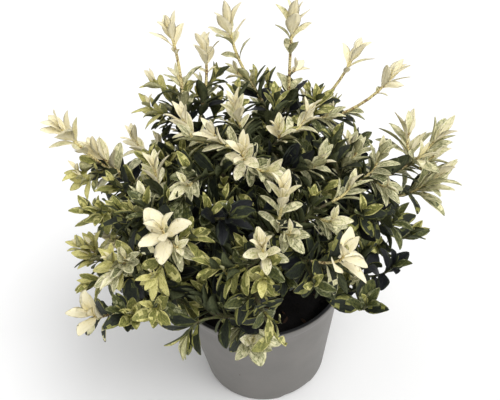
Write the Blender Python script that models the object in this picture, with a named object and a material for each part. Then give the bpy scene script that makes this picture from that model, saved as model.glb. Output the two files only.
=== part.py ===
"""Potted Japanese spindle: a variegated evergreen shrub in a grey nursery pot.

Metres, +Z up. The origin is the middle of the flat underside of the pot, on the pot's own axis.
A short trunk forks above the compost into four arms, the arms carry twelve boughs, and each bough
carries one mass of foliage that keeps to its own cone of space round the crown's middle.
"""
import math
import random

import bmesh
import bpy
from mathutils import Matrix, Vector
from mathutils.bvhtree import BVHTree

# Pot
POT_HEIGHT = 0.145
RIM_RADIUS = 0.095
NECK_RADIUS = 0.0895
FOOT_RADIUS = 0.0717
WALL = 0.0022
LIP_WIDTH = 0.0045
LIP_ROUNDING = 0.0008
COLLAR_HEIGHT = 0.016
FLOOR_THICKNESS = 0.006
POT_SIDES = 32
HUB_RADIUS = 0.030
FOOT_RING_WIDTH = 0.009
FOOT_CHAMFER = 0.0012
UNDERSIDE_RISE = 0.003
FOOT_GAPS = 3
FOOT_GAP_AZIMUTH = -63
FOOT_GAP_ANGLE = 30
# the gaps stop this far below the groove of the underside
FOOT_GAP_STEP = 0.0001
DRAIN_HOLES = 6
DRAIN_HOLE_SIDES = 10
DRAIN_HOLE_RADIUS = 0.004
DRAIN_CIRCLE_RADIUS = 0.046
# a cutter reaches this far past what it cuts
OVERCUT = 0.006

# Compost
COMPOST_DROP = 0.018
COMPOST_BUMP = 0.0022
COMPOST_SIDE_GAP = 0.0005
# rings of the top, as shares of the way from the flat place at the trunk to the edge
COMPOST_RINGS = (0.72, 0.36, 0)

# Trunk, arms and boughs
CLEARANCE = 0.0003
TRUNK_HEIGHT = 0.022
TRUNK_BASE_HEIGHT = 0.002
TRUNK_FOOT_RADIUS = 0.0115
TRUNK_TOP_RADIUS = 0.0072
TRUNK_LEAN = 0.003
ROOT_RIDGES = 5
ROOT_FLARE = 0.16
ARM_AZIMUTHS = (-20, 70, 160, 250)
ARM_SPREAD = 0.027
ARM_TIP_HEIGHT = POT_HEIGHT + 0.020
ARM_FOOT_RADIUS = 0.0050
ARM_TIP_RADIUS = 0.0038
ARM_SIDES = 8
STUB_LENGTH = 0.016
BOUGH_FOOT_RADIUS = 0.0029
BOUGH_TIP_RADIUS = 0.0022
BOUGH_SIDES = 6

# Crown
CROWN_MIDDLE = Vector((0, 0, POT_HEIGHT + 0.045))
CROWN_REACH = 0.182
CROWN_RISE = 0.142
CROWN_LOWEST = -9
# the crown's upper part is fuller by this share at the back
FULLNESS = 0.13
FULL_AZIMUTH = 110
MASS_START = 0.074
MASS_FORK = 0.108
# name, how many, elevation, first azimuth
RINGS = (("skirt", 6, 3, -96), ("shoulder", 5, 39, -82), ("top", 1, 88, 90))
# No ruled shoots grow here, so the compost and the pot's rim show: azimuth, half angle, highest elevation
OPENINGS = ((-73, 12, 30), (-95, 33, 18), (-33, 33, 17), (-132, 8, 8))

# Shoots
RULED_SHOOTS = 87
SHOOT_SPACING = 12
# how far shoots turn upwards on their way out
SHOOT_RISE = 1.6
GOLDEN_ANGLE = 137.508
SEED = 7
STEM_TIP_RADIUS = 0.0020
STEM_SIDES = 6
SHOOT_RADIUS = 0.0018
LEAF_LENGTH = 0.058
LEAF_WIDTH = 0.029
LEAF_WIDEST = 0.5
LEAF_THICKNESS = 0.0015
LEAF_DROOP = 0.06
# how far the last pair of leaves reaches past its shoot
TIP_LEAF_REACH = 0.032
# a leaf's root is this high, and reaches past the middle of its shoot by this much
LEAF_ROOT_HEIGHT = 0.0012
LEAF_SINK = 0.0004
BLADE_START = 0.35
LEAF_FACES = ((0, 3, 4), (0, 4, 2), (5, 4, 3), (5, 2, 4), (1, 2, 3), (5, 3, 2), (0, 1, 3), (0, 2, 1))
# the most that a leaf sits up or down its shoot from its pair, and turns about its own midrib
LEAF_OFFSET = 0.0008
LEAF_ROLL = 14
# Pairs of leaves: how far below the shoot's tip, how far they open, their length against LEAF_LENGTH
LEAF_PAIRS = ((0.003, 27, 0.76), (0.021, 50, 0.95), (0.046, 68, 1.0))
SPIRE_PAIRS = ((0.003, 22, 0.66), (0.016, 40, 0.72))
# a shoot is a spire, bare below its tuft, where it passes the leafy dome by this much
SPIRE_PROUD = 0.035
# A leaf that has no room is tried again at these turns round its shoot, then more upright, then smaller
LEAF_TURNS = (0, 25, -25, 50, -50)
LEAF_TRIES = ((1, 1), (0.6, 1), (1, 0.7), (0.6, 0.7))
SPACE_MARGIN = 0.0005
# pieces of one flat face that a Boolean split are joined again, up to this angle in radians
FLAT_ANGLE = 0.001

# Long bright shoots, by azimuth, elevation and reach from the crown's middle
BRIGHT_SHOOTS = (
    (120, 54, 0.248), (106, 50, 0.222), (94, 54, 0.240), (67, 51, 0.248),
    (43, 43, 0.236), (32, 35, 0.238), (11, 24, 0.228), (4, 17, 0.212),
    (161, 31, 0.244), (157, 26, 0.204), (143, 35, 0.184), (124, 43, 0.190),
    (146, 64, 0.168), (95, 62, 0.172), (39, 57, 0.176), (-103, 80, 0.162),
    (-70, 62, 0.164), (-134, 46, 0.172), (-88, 47, 0.170), (-57, 37, 0.174),
    (-156, 4, 0.190), (-176, 12, 0.192), (-93, -14, 0.126), (-1, 44, 0.178),
    (-115, 11, 0.178), (-13, 14, 0.186), (-39, 22, 0.177), (-56, 19, 0.177),
)

COLOURS = {
    "pot_grey": (0.155, 0.150, 0.145, 1),
    "compost_brown": (0.022, 0.017, 0.014, 1),
    "bark": (0.190, 0.160, 0.095, 1),
    "leaf_skirt": (0.140, 0.165, 0.060, 1),
    "leaf_shoulder": (0.290, 0.300, 0.130, 1),
    "leaf_top": (0.520, 0.500, 0.290, 1),
}
ROUGHNESS = {"pot_grey": 0.50, "compost_brown": 0.95, "bark": 0.75}
LEAF_ROUGHNESS = 0.42


def clear_scene():
    for thing in list(bpy.data.objects):
        bpy.data.objects.remove(thing)


def material(name):
    """A plain Principled material of this colour, made once."""
    found = bpy.data.materials.get(name)
    if found:
        return found
    made = bpy.data.materials.new(name)
    made.use_nodes = True
    shader = made.node_tree.nodes["Principled BSDF"]
    shader.inputs["Base Color"].default_value = COLOURS[name]
    shader.inputs["Roughness"].default_value = ROUGHNESS.get(name, LEAF_ROUGHNESS)
    shader.inputs["Metallic"].default_value = 0
    return made


def new_object(name, mesh, material_name):
    made = bpy.data.objects.new(name, mesh)
    bpy.context.scene.collection.objects.link(made)
    mesh.materials.clear()
    mesh.materials.append(material(material_name))
    return made


def mesh_of(bm, name):
    bmesh.ops.recalc_face_normals(bm, faces=bm.faces)
    mesh = bpy.data.meshes.new(name)
    bm.to_mesh(mesh)
    bm.free()
    return mesh


def polar(azimuth, elevation, reach=1.0):
    """A vector from degrees of azimuth, from +X towards +Y, and of elevation."""
    a = math.radians(azimuth)
    e = math.radians(elevation)
    return Vector((math.cos(a) * math.cos(e), math.sin(a) * math.cos(e), math.sin(e))) * reach


def turned(name, profile, sides, wobble=None):
    """A closed body of revolution. The profile starts and ends on the axis."""
    bm = bmesh.new()
    rings = []
    for radius, height in profile[1:-1]:
        ring = []
        for i in range(sides):
            angle = 2 * math.pi * i / sides
            lift = wobble(radius, angle, height) if wobble else 0
            ring.append(bm.verts.new((radius * math.cos(angle), radius * math.sin(angle), height + lift)))
        rings.append(ring)
    first = bm.verts.new((0, 0, profile[0][1]))
    last = bm.verts.new((0, 0, profile[-1][1]))
    for i in range(sides):
        j = (i + 1) % sides
        bm.faces.new((first, rings[0][j], rings[0][i]))
        for low, high in zip(rings, rings[1:]):
            bm.faces.new((low[i], low[j], high[j], high[i]))
        bm.faces.new((last, rings[-1][i], rings[-1][j]))
    return mesh_of(bm, name)


def limb_mesh(name, path, radii, sides, flare=None):
    """A tube along the path, with a flat end square to it at both ends."""
    bm = bmesh.new()
    side = Vector((1, 0, 0)) if abs((path[1] - path[0]).normalized().x) < 0.8 else Vector((0, 1, 0))
    rings = []
    for i, (point, radius) in enumerate(zip(path, radii)):
        along = (path[min(i + 1, len(path) - 1)] - path[max(i - 1, 0)]).normalized()
        side = (side - along * side.dot(along)).normalized()
        across = along.cross(side)
        ring = []
        for k in range(sides):
            angle = 2 * math.pi * k / sides
            width = radius * (1 + (flare(i, angle) if flare else 0))
            ring.append(bm.verts.new(point + (side * math.cos(angle) + across * math.sin(angle)) * width))
        rings.append(ring)
    bm.faces.new(rings[0][::-1])
    for low, high in zip(rings, rings[1:]):
        for k in range(sides):
            n = (k + 1) % sides
            bm.faces.new((low[k], low[n], high[n], high[k]))
    bm.faces.new(rings[-1])
    return mesh_of(bm, name)


def bezier(a, b, c, d, t):
    u = 1 - t
    return a * u ** 3 + b * 3 * u * u * t + c * 3 * u * t * t + d * t ** 3


def curve(a, b, c, d, steps):
    return [bezier(a, b, c, d, i / steps) for i in range(steps + 1)]


def cut_at(path, distance):
    """The path's two parts, before and after this distance along it."""
    for i, (a, b) in enumerate(zip(path, path[1:])):
        step = (b - a).length
        if distance <= step:
            point = a.lerp(b, distance / step)
            return path[: i + 1] + [point], [point] + path[i + 1:]
        distance -= step
    return path, []


def tapered(path, first, last):
    return [first + (last - first) * i / (len(path) - 1) for i in range(len(path))]


def solid_shell(mesh):
    """Keeps the largest closed shell, so that loose scraps go and sealed hollows are filled."""
    bm = bmesh.new()
    bm.from_mesh(mesh)
    bmesh.ops.triangulate(bm, faces=bm.faces)
    unseen = set(bm.faces)
    shells = []
    while unseen:
        front = [unseen.pop()]
        shell = list(front)
        while front:
            face = front.pop()
            for edge in face.edges:
                for other in edge.link_faces:
                    if other in unseen:
                        unseen.discard(other)
                        front.append(other)
                        shell.append(other)
        shells.append(shell)

    def volume(shell):
        return sum(f.verts[0].co.dot(f.verts[1].co.cross(f.verts[2].co)) for f in shell) / 6

    largest = max(shells, key=volume)
    for shell in shells:
        if shell is not largest:
            bmesh.ops.delete(bm, geom=shell, context="FACES")
    bmesh.ops.dissolve_limit(bm, angle_limit=FLAT_ANGLE, verts=bm.verts, edges=bm.edges)
    bmesh.ops.triangulate(bm, faces=bm.faces)
    bm.to_mesh(mesh)
    bm.free()


def fused(name, body, parts, material_name, operation="UNION"):
    """The body joined with, or cut by, closed meshes in one Boolean on a collection."""
    group = bpy.data.collections.new(name + "_parts")
    group.hide_render = True
    bpy.context.scene.collection.children.link(group)
    for i, part in enumerate(parts):
        piece = bpy.data.objects.new(f"{name}_part_{i}", part)
        piece.hide_render = True
        piece.display_type = "WIRE"
        group.objects.link(piece)
    whole = new_object(name, body, material_name)
    join = whole.modifiers.new("Join", "BOOLEAN")
    join.operation = operation
    join.operand_type = "COLLECTION"
    join.collection = group
    join.solver = "EXACT"
    graph = bpy.context.evaluated_depsgraph_get()
    result = bpy.data.meshes.new_from_object(whole.evaluated_get(graph))
    whole.modifiers.clear()
    whole.data = result
    result.materials.clear()
    result.materials.append(material(material_name))
    for piece in list(group.objects):
        bpy.data.objects.remove(piece)
    bpy.data.collections.remove(group)
    solid_shell(result)
    return whole


def inner_radius(height):
    """The radius of the pot's inner wall at this height."""
    share = (height - FLOOR_THICKNESS) / (POT_HEIGHT - COLLAR_HEIGHT - FLOOR_THICKNESS)
    foot = FOOT_RADIUS - WALL
    return foot + (NECK_RADIUS - WALL - foot) * share


def wedge(azimuth, angle, inner, outer, low, high):
    """A block that cuts one gap out of the foot ring."""
    bm = bmesh.new()
    steps = 4
    rings = []
    for i in range(steps + 1):
        turn = azimuth + angle * (i / steps - 0.5)
        rings.append([
            bm.verts.new(polar(turn, 0, radius) + Vector((0, 0, height)))
            for radius, height in ((inner, low), (outer, low), (outer, high), (inner, high))
        ])
    for a, b in zip(rings, rings[1:]):
        for k in range(4):
            n = (k + 1) % 4
            bm.faces.new((a[k], a[n], b[n], b[k]))
    bm.faces.new(rings[0])
    bm.faces.new(rings[-1])
    return mesh_of(bm, "gap")


def make_pot():
    """A tapered pot with a flared collar, a foot ring with gaps, and drain holes in its floor."""
    ring_inner = FOOT_RADIUS - FOOT_RING_WIDTH
    neck_height = POT_HEIGHT - COLLAR_HEIGHT
    flare = RIM_RADIUS - NECK_RADIUS
    collar = [
        (NECK_RADIUS + flare * math.sin(math.pi / 2 * t), neck_height + COLLAR_HEIGHT * t)
        for t in (0, 0.4, 0.95)
    ]
    lip = RIM_RADIUS - LIP_WIDTH
    profile = [
        (0, 0),
        (HUB_RADIUS, 0),
        (HUB_RADIUS + UNDERSIDE_RISE, UNDERSIDE_RISE),
        (ring_inner - UNDERSIDE_RISE, UNDERSIDE_RISE),
        (ring_inner, 0),
        (FOOT_RADIUS - FOOT_CHAMFER, 0),
        (FOOT_RADIUS, FOOT_CHAMFER),
        *collar,
        (RIM_RADIUS - LIP_ROUNDING, POT_HEIGHT),
        (lip, POT_HEIGHT),
        (inner_radius(neck_height), neck_height - WALL),
        (inner_radius(FLOOR_THICKNESS), FLOOR_THICKNESS),
        (0, FLOOR_THICKNESS),
    ]
    body = turned("pot", profile, POT_SIDES)
    cutters = [
        wedge(FOOT_GAP_AZIMUTH + 360 / FOOT_GAPS * i, FOOT_GAP_ANGLE, ring_inner - OVERCUT,
              FOOT_RADIUS + OVERCUT, -OVERCUT, UNDERSIDE_RISE - FOOT_GAP_STEP)
        for i in range(FOOT_GAPS)
    ]
    for i in range(DRAIN_HOLES):
        middle = polar(360 / DRAIN_HOLES * (i + 0.5), 0, DRAIN_CIRCLE_RADIUS)
        path = [middle + Vector((0, 0, z)) for z in (-OVERCUT, FLOOR_THICKNESS + OVERCUT)]
        cutters.append(limb_mesh("drain", path, [DRAIN_HOLE_RADIUS] * 2, DRAIN_HOLE_SIDES))
    return fused("pot", body, cutters, "pot_grey", "DIFFERENCE")


def make_compost():
    """The compost fills the pot to just under its rim, with a bumpy top that is flat at the trunk."""
    top = POT_HEIGHT - COMPOST_DROP
    low = FLOOR_THICKNESS + CLEARANCE
    flat = TRUNK_FOOT_RADIUS * 1.6
    edge = inner_radius(top) - COMPOST_SIDE_GAP

    def bumps(radius, angle, height):
        if height < top or radius <= flat:
            return 0
        wave = math.sin(5 * angle + 90 * radius) * math.cos(3 * angle - 210 * radius)
        return COMPOST_BUMP * wave * (0.3 if radius >= edge else 1)

    profile = [(0, low), (inner_radius(low) - COMPOST_SIDE_GAP, low), (edge, top)]
    profile += [(flat + (edge - flat) * share, top) for share in COMPOST_RINGS]
    profile.append((0, top))
    return new_object("compost", turned("compost", profile, POT_SIDES, bumps), "compost_brown")


def mass_layout():
    """Name and direction of each mass of foliage, ring by ring."""
    layout = []
    for ring, count, elevation, first in RINGS:
        for i in range(count):
            layout.append((f"{ring}_{i + 1}", first + 360 / count * i, elevation))
    return layout


def arm_tip(azimuth):
    return polar(azimuth, 0, ARM_SPREAD) + Vector((0, 0, ARM_TIP_HEIGHT))


def nearest_arm(azimuth):
    return min(ARM_AZIMUTHS, key=lambda arm: abs((azimuth - arm + 180) % 360 - 180))


def bough_path(azimuth, elevation):
    """One curve from the arm's tip to where the bough enters its mass."""
    start = arm_tip(nearest_arm(azimuth))
    out = polar(azimuth, elevation)
    end = CROWN_MIDDLE + out * MASS_START
    span = (end - start).length
    rise = ((end - start).normalized() + Vector((0, 0, 0.25))).normalized()
    return curve(start, start + rise * span * 0.35, end - out * span * 0.35, end, 6)


def make_trunk():
    """The short trunk with its root flare, its four arms, and a stub for each bough."""
    foot = Vector((0, 0, POT_HEIGHT - COMPOST_DROP + CLEARANCE))
    bottom = foot + Vector((0, 0, TRUNK_BASE_HEIGHT))
    head = foot + Vector((-TRUNK_LEAN, 0, TRUNK_HEIGHT))
    path = [foot] + curve(bottom, bottom + Vector((0, 0, 0.005)), head - Vector((0, 0, 0.007)), head, 4)
    rings = len(path) - 1
    width = TRUNK_FOOT_RADIUS - TRUNK_TOP_RADIUS
    radii = [TRUNK_TOP_RADIUS + width * (1 - i / rings) ** 2.5 for i in range(rings + 1)]

    def roots(ring, angle):
        return ROOT_FLARE * math.cos(ROOT_RIDGES * angle) * (1 - ring / rings) ** 2

    body = limb_mesh("trunk", path, radii, 3 * ROOT_RIDGES, roots)
    parts = []
    for azimuth in ARM_AZIMUTHS:
        tip = arm_tip(azimuth)
        start = head - Vector((0, 0, ARM_FOOT_RADIUS * 1.4))
        arm = curve(start, start + Vector((0, 0, 0.008)), tip - Vector((0, 0, 0.010)), tip, 5)
        arm.append(tip + (tip - arm[-2]).normalized() * 0.002)
        parts.append(limb_mesh("arm", arm, tapered(arm, ARM_FOOT_RADIUS, ARM_TIP_RADIUS), ARM_SIDES))
    for _, azimuth, elevation in mass_layout():
        stub, _rest = cut_at(bough_path(azimuth, elevation), STUB_LENGTH)
        parts.append(limb_mesh("stub", stub, [BOUGH_FOOT_RADIUS] * len(stub), BOUGH_SIDES))
    return fused("trunk", body, parts, "bark")


def make_boughs():
    boughs = []
    for name, azimuth, elevation in mass_layout():
        _stub, path = cut_at(bough_path(azimuth, elevation), STUB_LENGTH + CLEARANCE)
        radii = tapered(path, BOUGH_FOOT_RADIUS, BOUGH_TIP_RADIUS)
        mesh = limb_mesh(f"bough_{name}", path, radii, BOUGH_SIDES)
        boughs.append(new_object(f"bough_{name}", mesh, "bark"))
    return boughs


def apart(azimuth_a, elevation_a, azimuth_b, elevation_b):
    """Degrees between two directions."""
    return math.degrees(polar(azimuth_a, elevation_a).angle(polar(azimuth_b, elevation_b)))


def in_opening(azimuth, elevation):
    return any(
        abs((azimuth - middle + 180) % 360 - 180) < half and elevation < highest
        for middle, half, highest in OPENINGS
    )


def dome_reach(azimuth, elevation):
    """How far the leafy dome reaches from the crown's middle in this direction."""
    e = math.radians(elevation)
    reach = 1 / math.hypot(math.cos(e) / CROWN_REACH, math.sin(e) / CROWN_RISE)
    back = (1 + math.cos(math.radians(azimuth - FULL_AZIMUTH))) / 2
    return reach * (1 + FULLNESS * back * max(math.sin(e), 0))


def is_spire(azimuth, elevation, reach):
    return reach > dome_reach(azimuth, elevation) + SPIRE_PROUD


def shoot_tips():
    """Azimuth, elevation and reach of every shoot: the bright ones, then a golden spiral on the dome."""
    chance = random.Random(SEED)
    tips = list(BRIGHT_SHOOTS)
    taken = [(a, e) for a, e, reach in BRIGHT_SHOOTS if not is_spire(a, e, reach)]
    low = math.sin(math.radians(CROWN_LOWEST))
    for i in range(RULED_SHOOTS):
        elevation = math.degrees(math.asin(low + (1 - low) * (i + 0.5) / RULED_SHOOTS))
        azimuth = (i * GOLDEN_ANGLE + chance.uniform(-6, 6)) % 360
        reach = dome_reach(azimuth, elevation) * chance.uniform(0.90, 1.03)
        crowded = any(apart(azimuth, elevation, a, e) < SHOOT_SPACING for a, e in taken)
        if not crowded and not in_opening(azimuth, elevation):
            tips.append((azimuth, elevation, reach))
    return tips


def in_space(points, mine, others):
    """True if every point lies in this mass's own cone, clear of its neighbours' cones."""
    for other in others:
        wall = (mine - other).normalized()
        if any((point - CROWN_MIDDLE).dot(wall) < SPACE_MARGIN for point in points):
            return False
    return True


def leaf_points(root, along, up, length, width, roll):
    """The six corners of one leaf: its root's top and underside, two edges, midrib and tip."""
    side = Matrix.Rotation(math.radians(roll), 3, along) @ along.cross(up).normalized()
    face = side.cross(along).normalized()
    foot = root - along * LEAF_SINK
    middle = root + along * length * LEAF_WIDEST
    return [
        foot + face * LEAF_ROOT_HEIGHT / 2,
        foot - face * LEAF_ROOT_HEIGHT / 2,
        middle + side * width / 2,
        middle - side * width / 2,
        middle + face * LEAF_THICKNESS,
        root + along * length - face * length * LEAF_DROOP,
    ]


def blade_points(points):
    """The same leaf without its root, which is the part that may not cross another."""
    top, low, left, right, rib, tip = points
    return [top.lerp(rib, BLADE_START), low.lerp(rib, BLADE_START), left, right, rib, tip]


def leaf_mesh(points):
    bm = bmesh.new()
    corners = [bm.verts.new(p) for p in points]
    for face in LEAF_FACES:
        bm.faces.new([corners[k] for k in face])
    return mesh_of(bm, "leaf")


def tree_of(meshes):
    """One search tree of all these meshes' faces."""
    corners = []
    faces = []
    for mesh in meshes:
        first = len(corners)
        corners += [v.co.copy() for v in mesh.vertices]
        faces += [[first + k for k in p.vertices] for p in mesh.polygons]
    return BVHTree.FromPolygons(corners, faces)


def touches(mesh, obstacle):
    """True if the mesh crosses the obstacle or has a corner within SPACE_MARGIN of it."""
    return bool(tree_of([mesh]).overlap(obstacle)) or any(
        obstacle.find_nearest(v.co, SPACE_MARGIN)[0] is not None for v in mesh.vertices
    )


def shoot_path(start, tip, out):
    span = (tip - start).length
    rise = ((tip - CROWN_MIDDLE).normalized() + Vector((0, 0, SHOOT_RISE))).normalized()
    return curve(start, start + out * span * 0.35, tip - rise * span * 0.3, tip, 2)


def pair_places(azimuth, elevation, reach):
    """The shoot's pairs of leaves. A spire has a tuft, and more pairs from the dome inwards."""
    if not is_spire(azimuth, elevation, reach):
        return LEAF_PAIRS
    bare = reach - dome_reach(azimuth, elevation)
    return SPIRE_PAIRS + tuple((bare + down, opening, size) for down, opening, size in LEAF_PAIRS[1:])


def leaf_seats(path, places, chance):
    """Where each leaf starts, the directions and sizes it may take, its shoot's direction, and roll."""
    turn = chance.uniform(0, 180)
    for down, opening, size in places:
        above, below = cut_at(path[::-1], down)
        if len(below) < 2:
            return
        along = (above[-2] - above[-1]).normalized()
        side = along.orthogonal().normalized()
        angle = math.radians(opening + chance.uniform(-7, 7))
        scale = size * chance.uniform(0.9, 1.1)
        for half in (0, 180):
            ways = []
            for open_share, size_share in LEAF_TRIES:
                for extra in LEAF_TURNS:
                    out = Matrix.Rotation(math.radians(turn + half + extra), 3, along) @ side
                    way = along * math.cos(angle * open_share) + out * math.sin(angle * open_share)
                    ways.append((way, scale * size_share))
            root = above[-1] + along * chance.uniform(-LEAF_OFFSET, LEAF_OFFSET)
            yield root, ways, along, chance.uniform(-LEAF_ROLL, LEAF_ROLL)
        turn += 90


def make_mass(name, azimuth, elevation, tips, obstacle, others, chance):
    """One mass: a stem, its shoots, and pairs of leaves on them, fused into one solid."""
    out = polar(azimuth, elevation)
    foot = CROWN_MIDDLE + out * (MASS_START + CLEARANCE)
    fork = CROWN_MIDDLE + out * MASS_FORK
    stem = [foot, foot.lerp(fork, 0.5), fork]
    body = limb_mesh(name, stem, tapered(stem, BOUGH_TIP_RADIUS, STEM_TIP_RADIUS), STEM_SIDES)
    shoots = []
    for i, (a, e, reach) in enumerate(tips):
        start = foot.lerp(fork, 0.35 + 0.6 * i / len(tips))
        path = shoot_path(start, CROWN_MIDDLE + polar(a, e, reach - TIP_LEAF_REACH), out)
        shoot = limb_mesh("shoot", path, tapered(path, SHOOT_RADIUS, SHOOT_RADIUS * 0.75), 3)
        if in_space(path, out, others) and not touches(shoot, obstacle):
            shoots.append((shoot, path, pair_places(a, e, reach)))
    parts = [shoot for shoot, _, _ in shoots]
    blades = list(parts)
    grown = tree_of(blades)
    for _, path, places in shoots:
        for root, ways, up, roll in leaf_seats(path, places, chance):
            for along, scale in ways:
                points = leaf_points(root, along, up, LEAF_LENGTH * scale, LEAF_WIDTH * scale, roll)
                leaf = leaf_mesh(points)
                if not in_space(points, out, others) or touches(leaf, obstacle):
                    continue
                blade = leaf_mesh(blade_points(points))
                if tree_of([blade]).overlap(grown):
                    continue
                parts.append(leaf)
                blades.append(blade)
                grown = tree_of(blades)
                break
    ring = name.split("_")[1]
    return fused(name, body, parts, f"leaf_{ring}")


def make_masses(limbs):
    obstacle = tree_of([limb.data for limb in limbs])
    layout = mass_layout()
    seeds = [polar(azimuth, elevation) for _, azimuth, elevation in layout]
    tips = [[] for _ in layout]
    for tip in shoot_tips():
        way = polar(tip[0], tip[1])
        tips[max(range(len(seeds)), key=lambda k: way.dot(seeds[k]))].append(tip)
    for k, (name, azimuth, elevation) in enumerate(layout):
        others = [seed for seed in seeds if seed is not seeds[k]]
        make_mass(f"mass_{name}", azimuth, elevation, tips[k], obstacle, others, random.Random(SEED + k))


def main():
    clear_scene()
    pot = make_pot()
    compost = make_compost()
    trunk = make_trunk()
    boughs = make_boughs()
    make_masses([pot, compost, trunk, *boughs])


main()
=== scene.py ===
import math
import random

import bmesh
import bpy
import numpy as np
from mathutils import Matrix, Vector, noise
from mathutils.bvhtree import BVHTree


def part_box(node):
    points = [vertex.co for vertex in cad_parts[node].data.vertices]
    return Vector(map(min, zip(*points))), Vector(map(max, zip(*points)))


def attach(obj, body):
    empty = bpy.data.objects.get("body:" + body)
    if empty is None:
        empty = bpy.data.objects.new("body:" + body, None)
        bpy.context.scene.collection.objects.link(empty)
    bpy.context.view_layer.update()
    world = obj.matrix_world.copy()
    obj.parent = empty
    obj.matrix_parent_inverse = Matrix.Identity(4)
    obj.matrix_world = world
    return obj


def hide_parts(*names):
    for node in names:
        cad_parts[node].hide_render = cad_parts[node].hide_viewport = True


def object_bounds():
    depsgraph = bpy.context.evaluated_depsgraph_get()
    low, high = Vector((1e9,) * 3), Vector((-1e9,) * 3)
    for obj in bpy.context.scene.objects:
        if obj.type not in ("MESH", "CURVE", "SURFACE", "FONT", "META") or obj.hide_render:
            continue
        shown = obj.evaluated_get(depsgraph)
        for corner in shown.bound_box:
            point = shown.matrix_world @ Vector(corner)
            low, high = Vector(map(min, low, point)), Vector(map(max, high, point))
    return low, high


# The looks of a potted Japanese spindle: a variegated evergreen shrub in a grey nursery pot.
# Metres, +Z up, front of the plant towards -Y. The foliage grows by the same rule as its solids:
# boughs end in masses, a mass is shoots from one stem, and a shoot bears opposite pairs of leaves.

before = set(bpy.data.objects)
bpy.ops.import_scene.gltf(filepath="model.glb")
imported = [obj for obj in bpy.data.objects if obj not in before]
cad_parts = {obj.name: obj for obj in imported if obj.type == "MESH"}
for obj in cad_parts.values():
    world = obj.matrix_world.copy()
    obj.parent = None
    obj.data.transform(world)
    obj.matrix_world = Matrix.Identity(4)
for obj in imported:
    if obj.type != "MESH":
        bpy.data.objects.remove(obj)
CAD_LOW, CAD_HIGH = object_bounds()

# Pot
POT_LOW, POT_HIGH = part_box("pot")
POT_HEIGHT = POT_HIGH.z
RIM_RADIUS = POT_HIGH.x
NECK_RADIUS = 0.0895
FOOT_RADIUS = 0.0717
WALL = 0.0022
LIP_WIDTH = 0.0045
LIP_ROUNDING = 0.0009
COLLAR_HEIGHT = 0.016
FLOOR_THICKNESS = 0.006
FOOT_RING_WIDTH = 0.009
RING_INNER = FOOT_RADIUS - FOOT_RING_WIDTH
FOOT_ROUNDING = 0.0016
UNDERSIDE_RISE = 0.003
FOOT_GAPS = 3
FOOT_GAP_AZIMUTH = -63
FOOT_GAP_ANGLE = 30
FOOT_GAP_SOFTNESS = 5
HUB_RADIUS = 0.030
DRAIN_HOLES = 6
DRAIN_HOLE_RADIUS = 0.004
DRAIN_CIRCLE_RADIUS = 0.046
POT_SEGMENTS = 168
WALL_RINGS = 14
INSIDE_RINGS = 10
COLLAR_RINGS = 11
DRAIN_HOLE_SIDES = 28
BEVEL = 0.001
# a height just off the floor, at the foot ring's inner edge and above its gaps
SLIVER = 0.0002
# edges sharper than this stay crisp, in degrees
CRISP_ANGLE = 38

# Compost
COMPOST_BUMP = 0.0022
COMPOST_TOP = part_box("compost")[1].z - COMPOST_BUMP
COMPOST_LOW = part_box("compost")[0].z
COMPOST_SEGMENTS = 96
COMPOST_RINGS = 44
COMPOST_GAP = 0.0003
BUMP_FREQUENCY = 55
GRIT_FREQUENCY = 420
GRIT_HEIGHT = 0.0005
# the compost is flat under the trunk, and bumpy from this far round it
FLAT_ROUND = 0.012
CRUMB_DENSITY = 62000
CRUMB_SIZE = 0.0013
CHIP_DENSITY = 2600
CHIP_SIZE = 0.0045
# lumps are strewn where the ground looks up by at least this much, at these shares of their size
LOOKS_UP = 0.5
LUMP_SIZES = (0.45, 1.25)
LUMP_ROUGHNESS = 700.0

# Trunk, arms and boughs, as their solids have them
TRUNK_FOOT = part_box("trunk")[0].z
TRUNK_HEIGHT = 0.022
TRUNK_FOOT_RADIUS = 0.0115
TRUNK_TOP_RADIUS = 0.0072
TRUNK_LEAN = 0.003
ROOT_RIDGES = 5
ROOT_FLARE = 0.16
ARM_AZIMUTHS = (-20, 70, 160, 250)
ARM_SPREAD = 0.027
ARM_TIP_HEIGHT = POT_HEIGHT + 0.020
ARM_FOOT_RADIUS = 0.0050
ARM_TIP_RADIUS = 0.0038
BOUGH_FOOT_RADIUS = 0.0029
BOUGH_TIP_RADIUS = 0.0022
LIMB_SIDES = 18
TRUNK_SIDES = 40
LIMB_STEPS = 12
# how far each end of a limb pulls its curve straight
TRUNK_FOOT_PULL = 0.005
TRUNK_HEAD_PULL = 0.007
ARM_FOOT_PULL = 0.008
ARM_TIP_PULL = 0.010
BOUGH_PULL = 0.35
BOUGH_RISE = 0.25
# how far a limb's end goes on into what carries it
LIMB_OVERLAP = 0.002
BARK_GRAIN = 0.0009
BARK_RELIEF = 0.00035
BARK_RIDGES = Vector((420, 420, 130))
BARK_PITS = 900

# Crown
CROWN_MIDDLE = Vector((0, 0, POT_HEIGHT + 0.045))
CROWN_REACH = 0.182
CROWN_RISE = 0.142
CROWN_LOWEST = -9
# the crown's upper part is fuller by this share at the back
FULLNESS = 0.13
FULL_AZIMUTH = 110
MASS_START = 0.074
MASS_FORK = 0.108
# a mass's stem starts this far inside its bough, and its shoots leave it over this part of its length
STEM_OVERLAP = 0.004
FIRST_SHOOT = 0.35
SHOOT_RANGE = 0.6
# name, how many, elevation, first azimuth
RINGS = (("skirt", 6, 3, -96), ("shoulder", 5, 39, -82), ("top", 1, 88, 90))
# No shoots grow by rule here, so that the compost and the pot's rim show: azimuth, half angle and
# highest elevation
OPENINGS = ((-73, 12, 30), (-95, 33, 20), (-33, 33, 17), (-132, 8, 8))
RULED_SHOOTS = 87
SHOOT_SPACING = 12
# chance in the azimuth of a shoot that grows by rule, and in its reach against the dome's
AZIMUTH_SPREAD = 6
REACHES = (0.90, 1.03)
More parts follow.
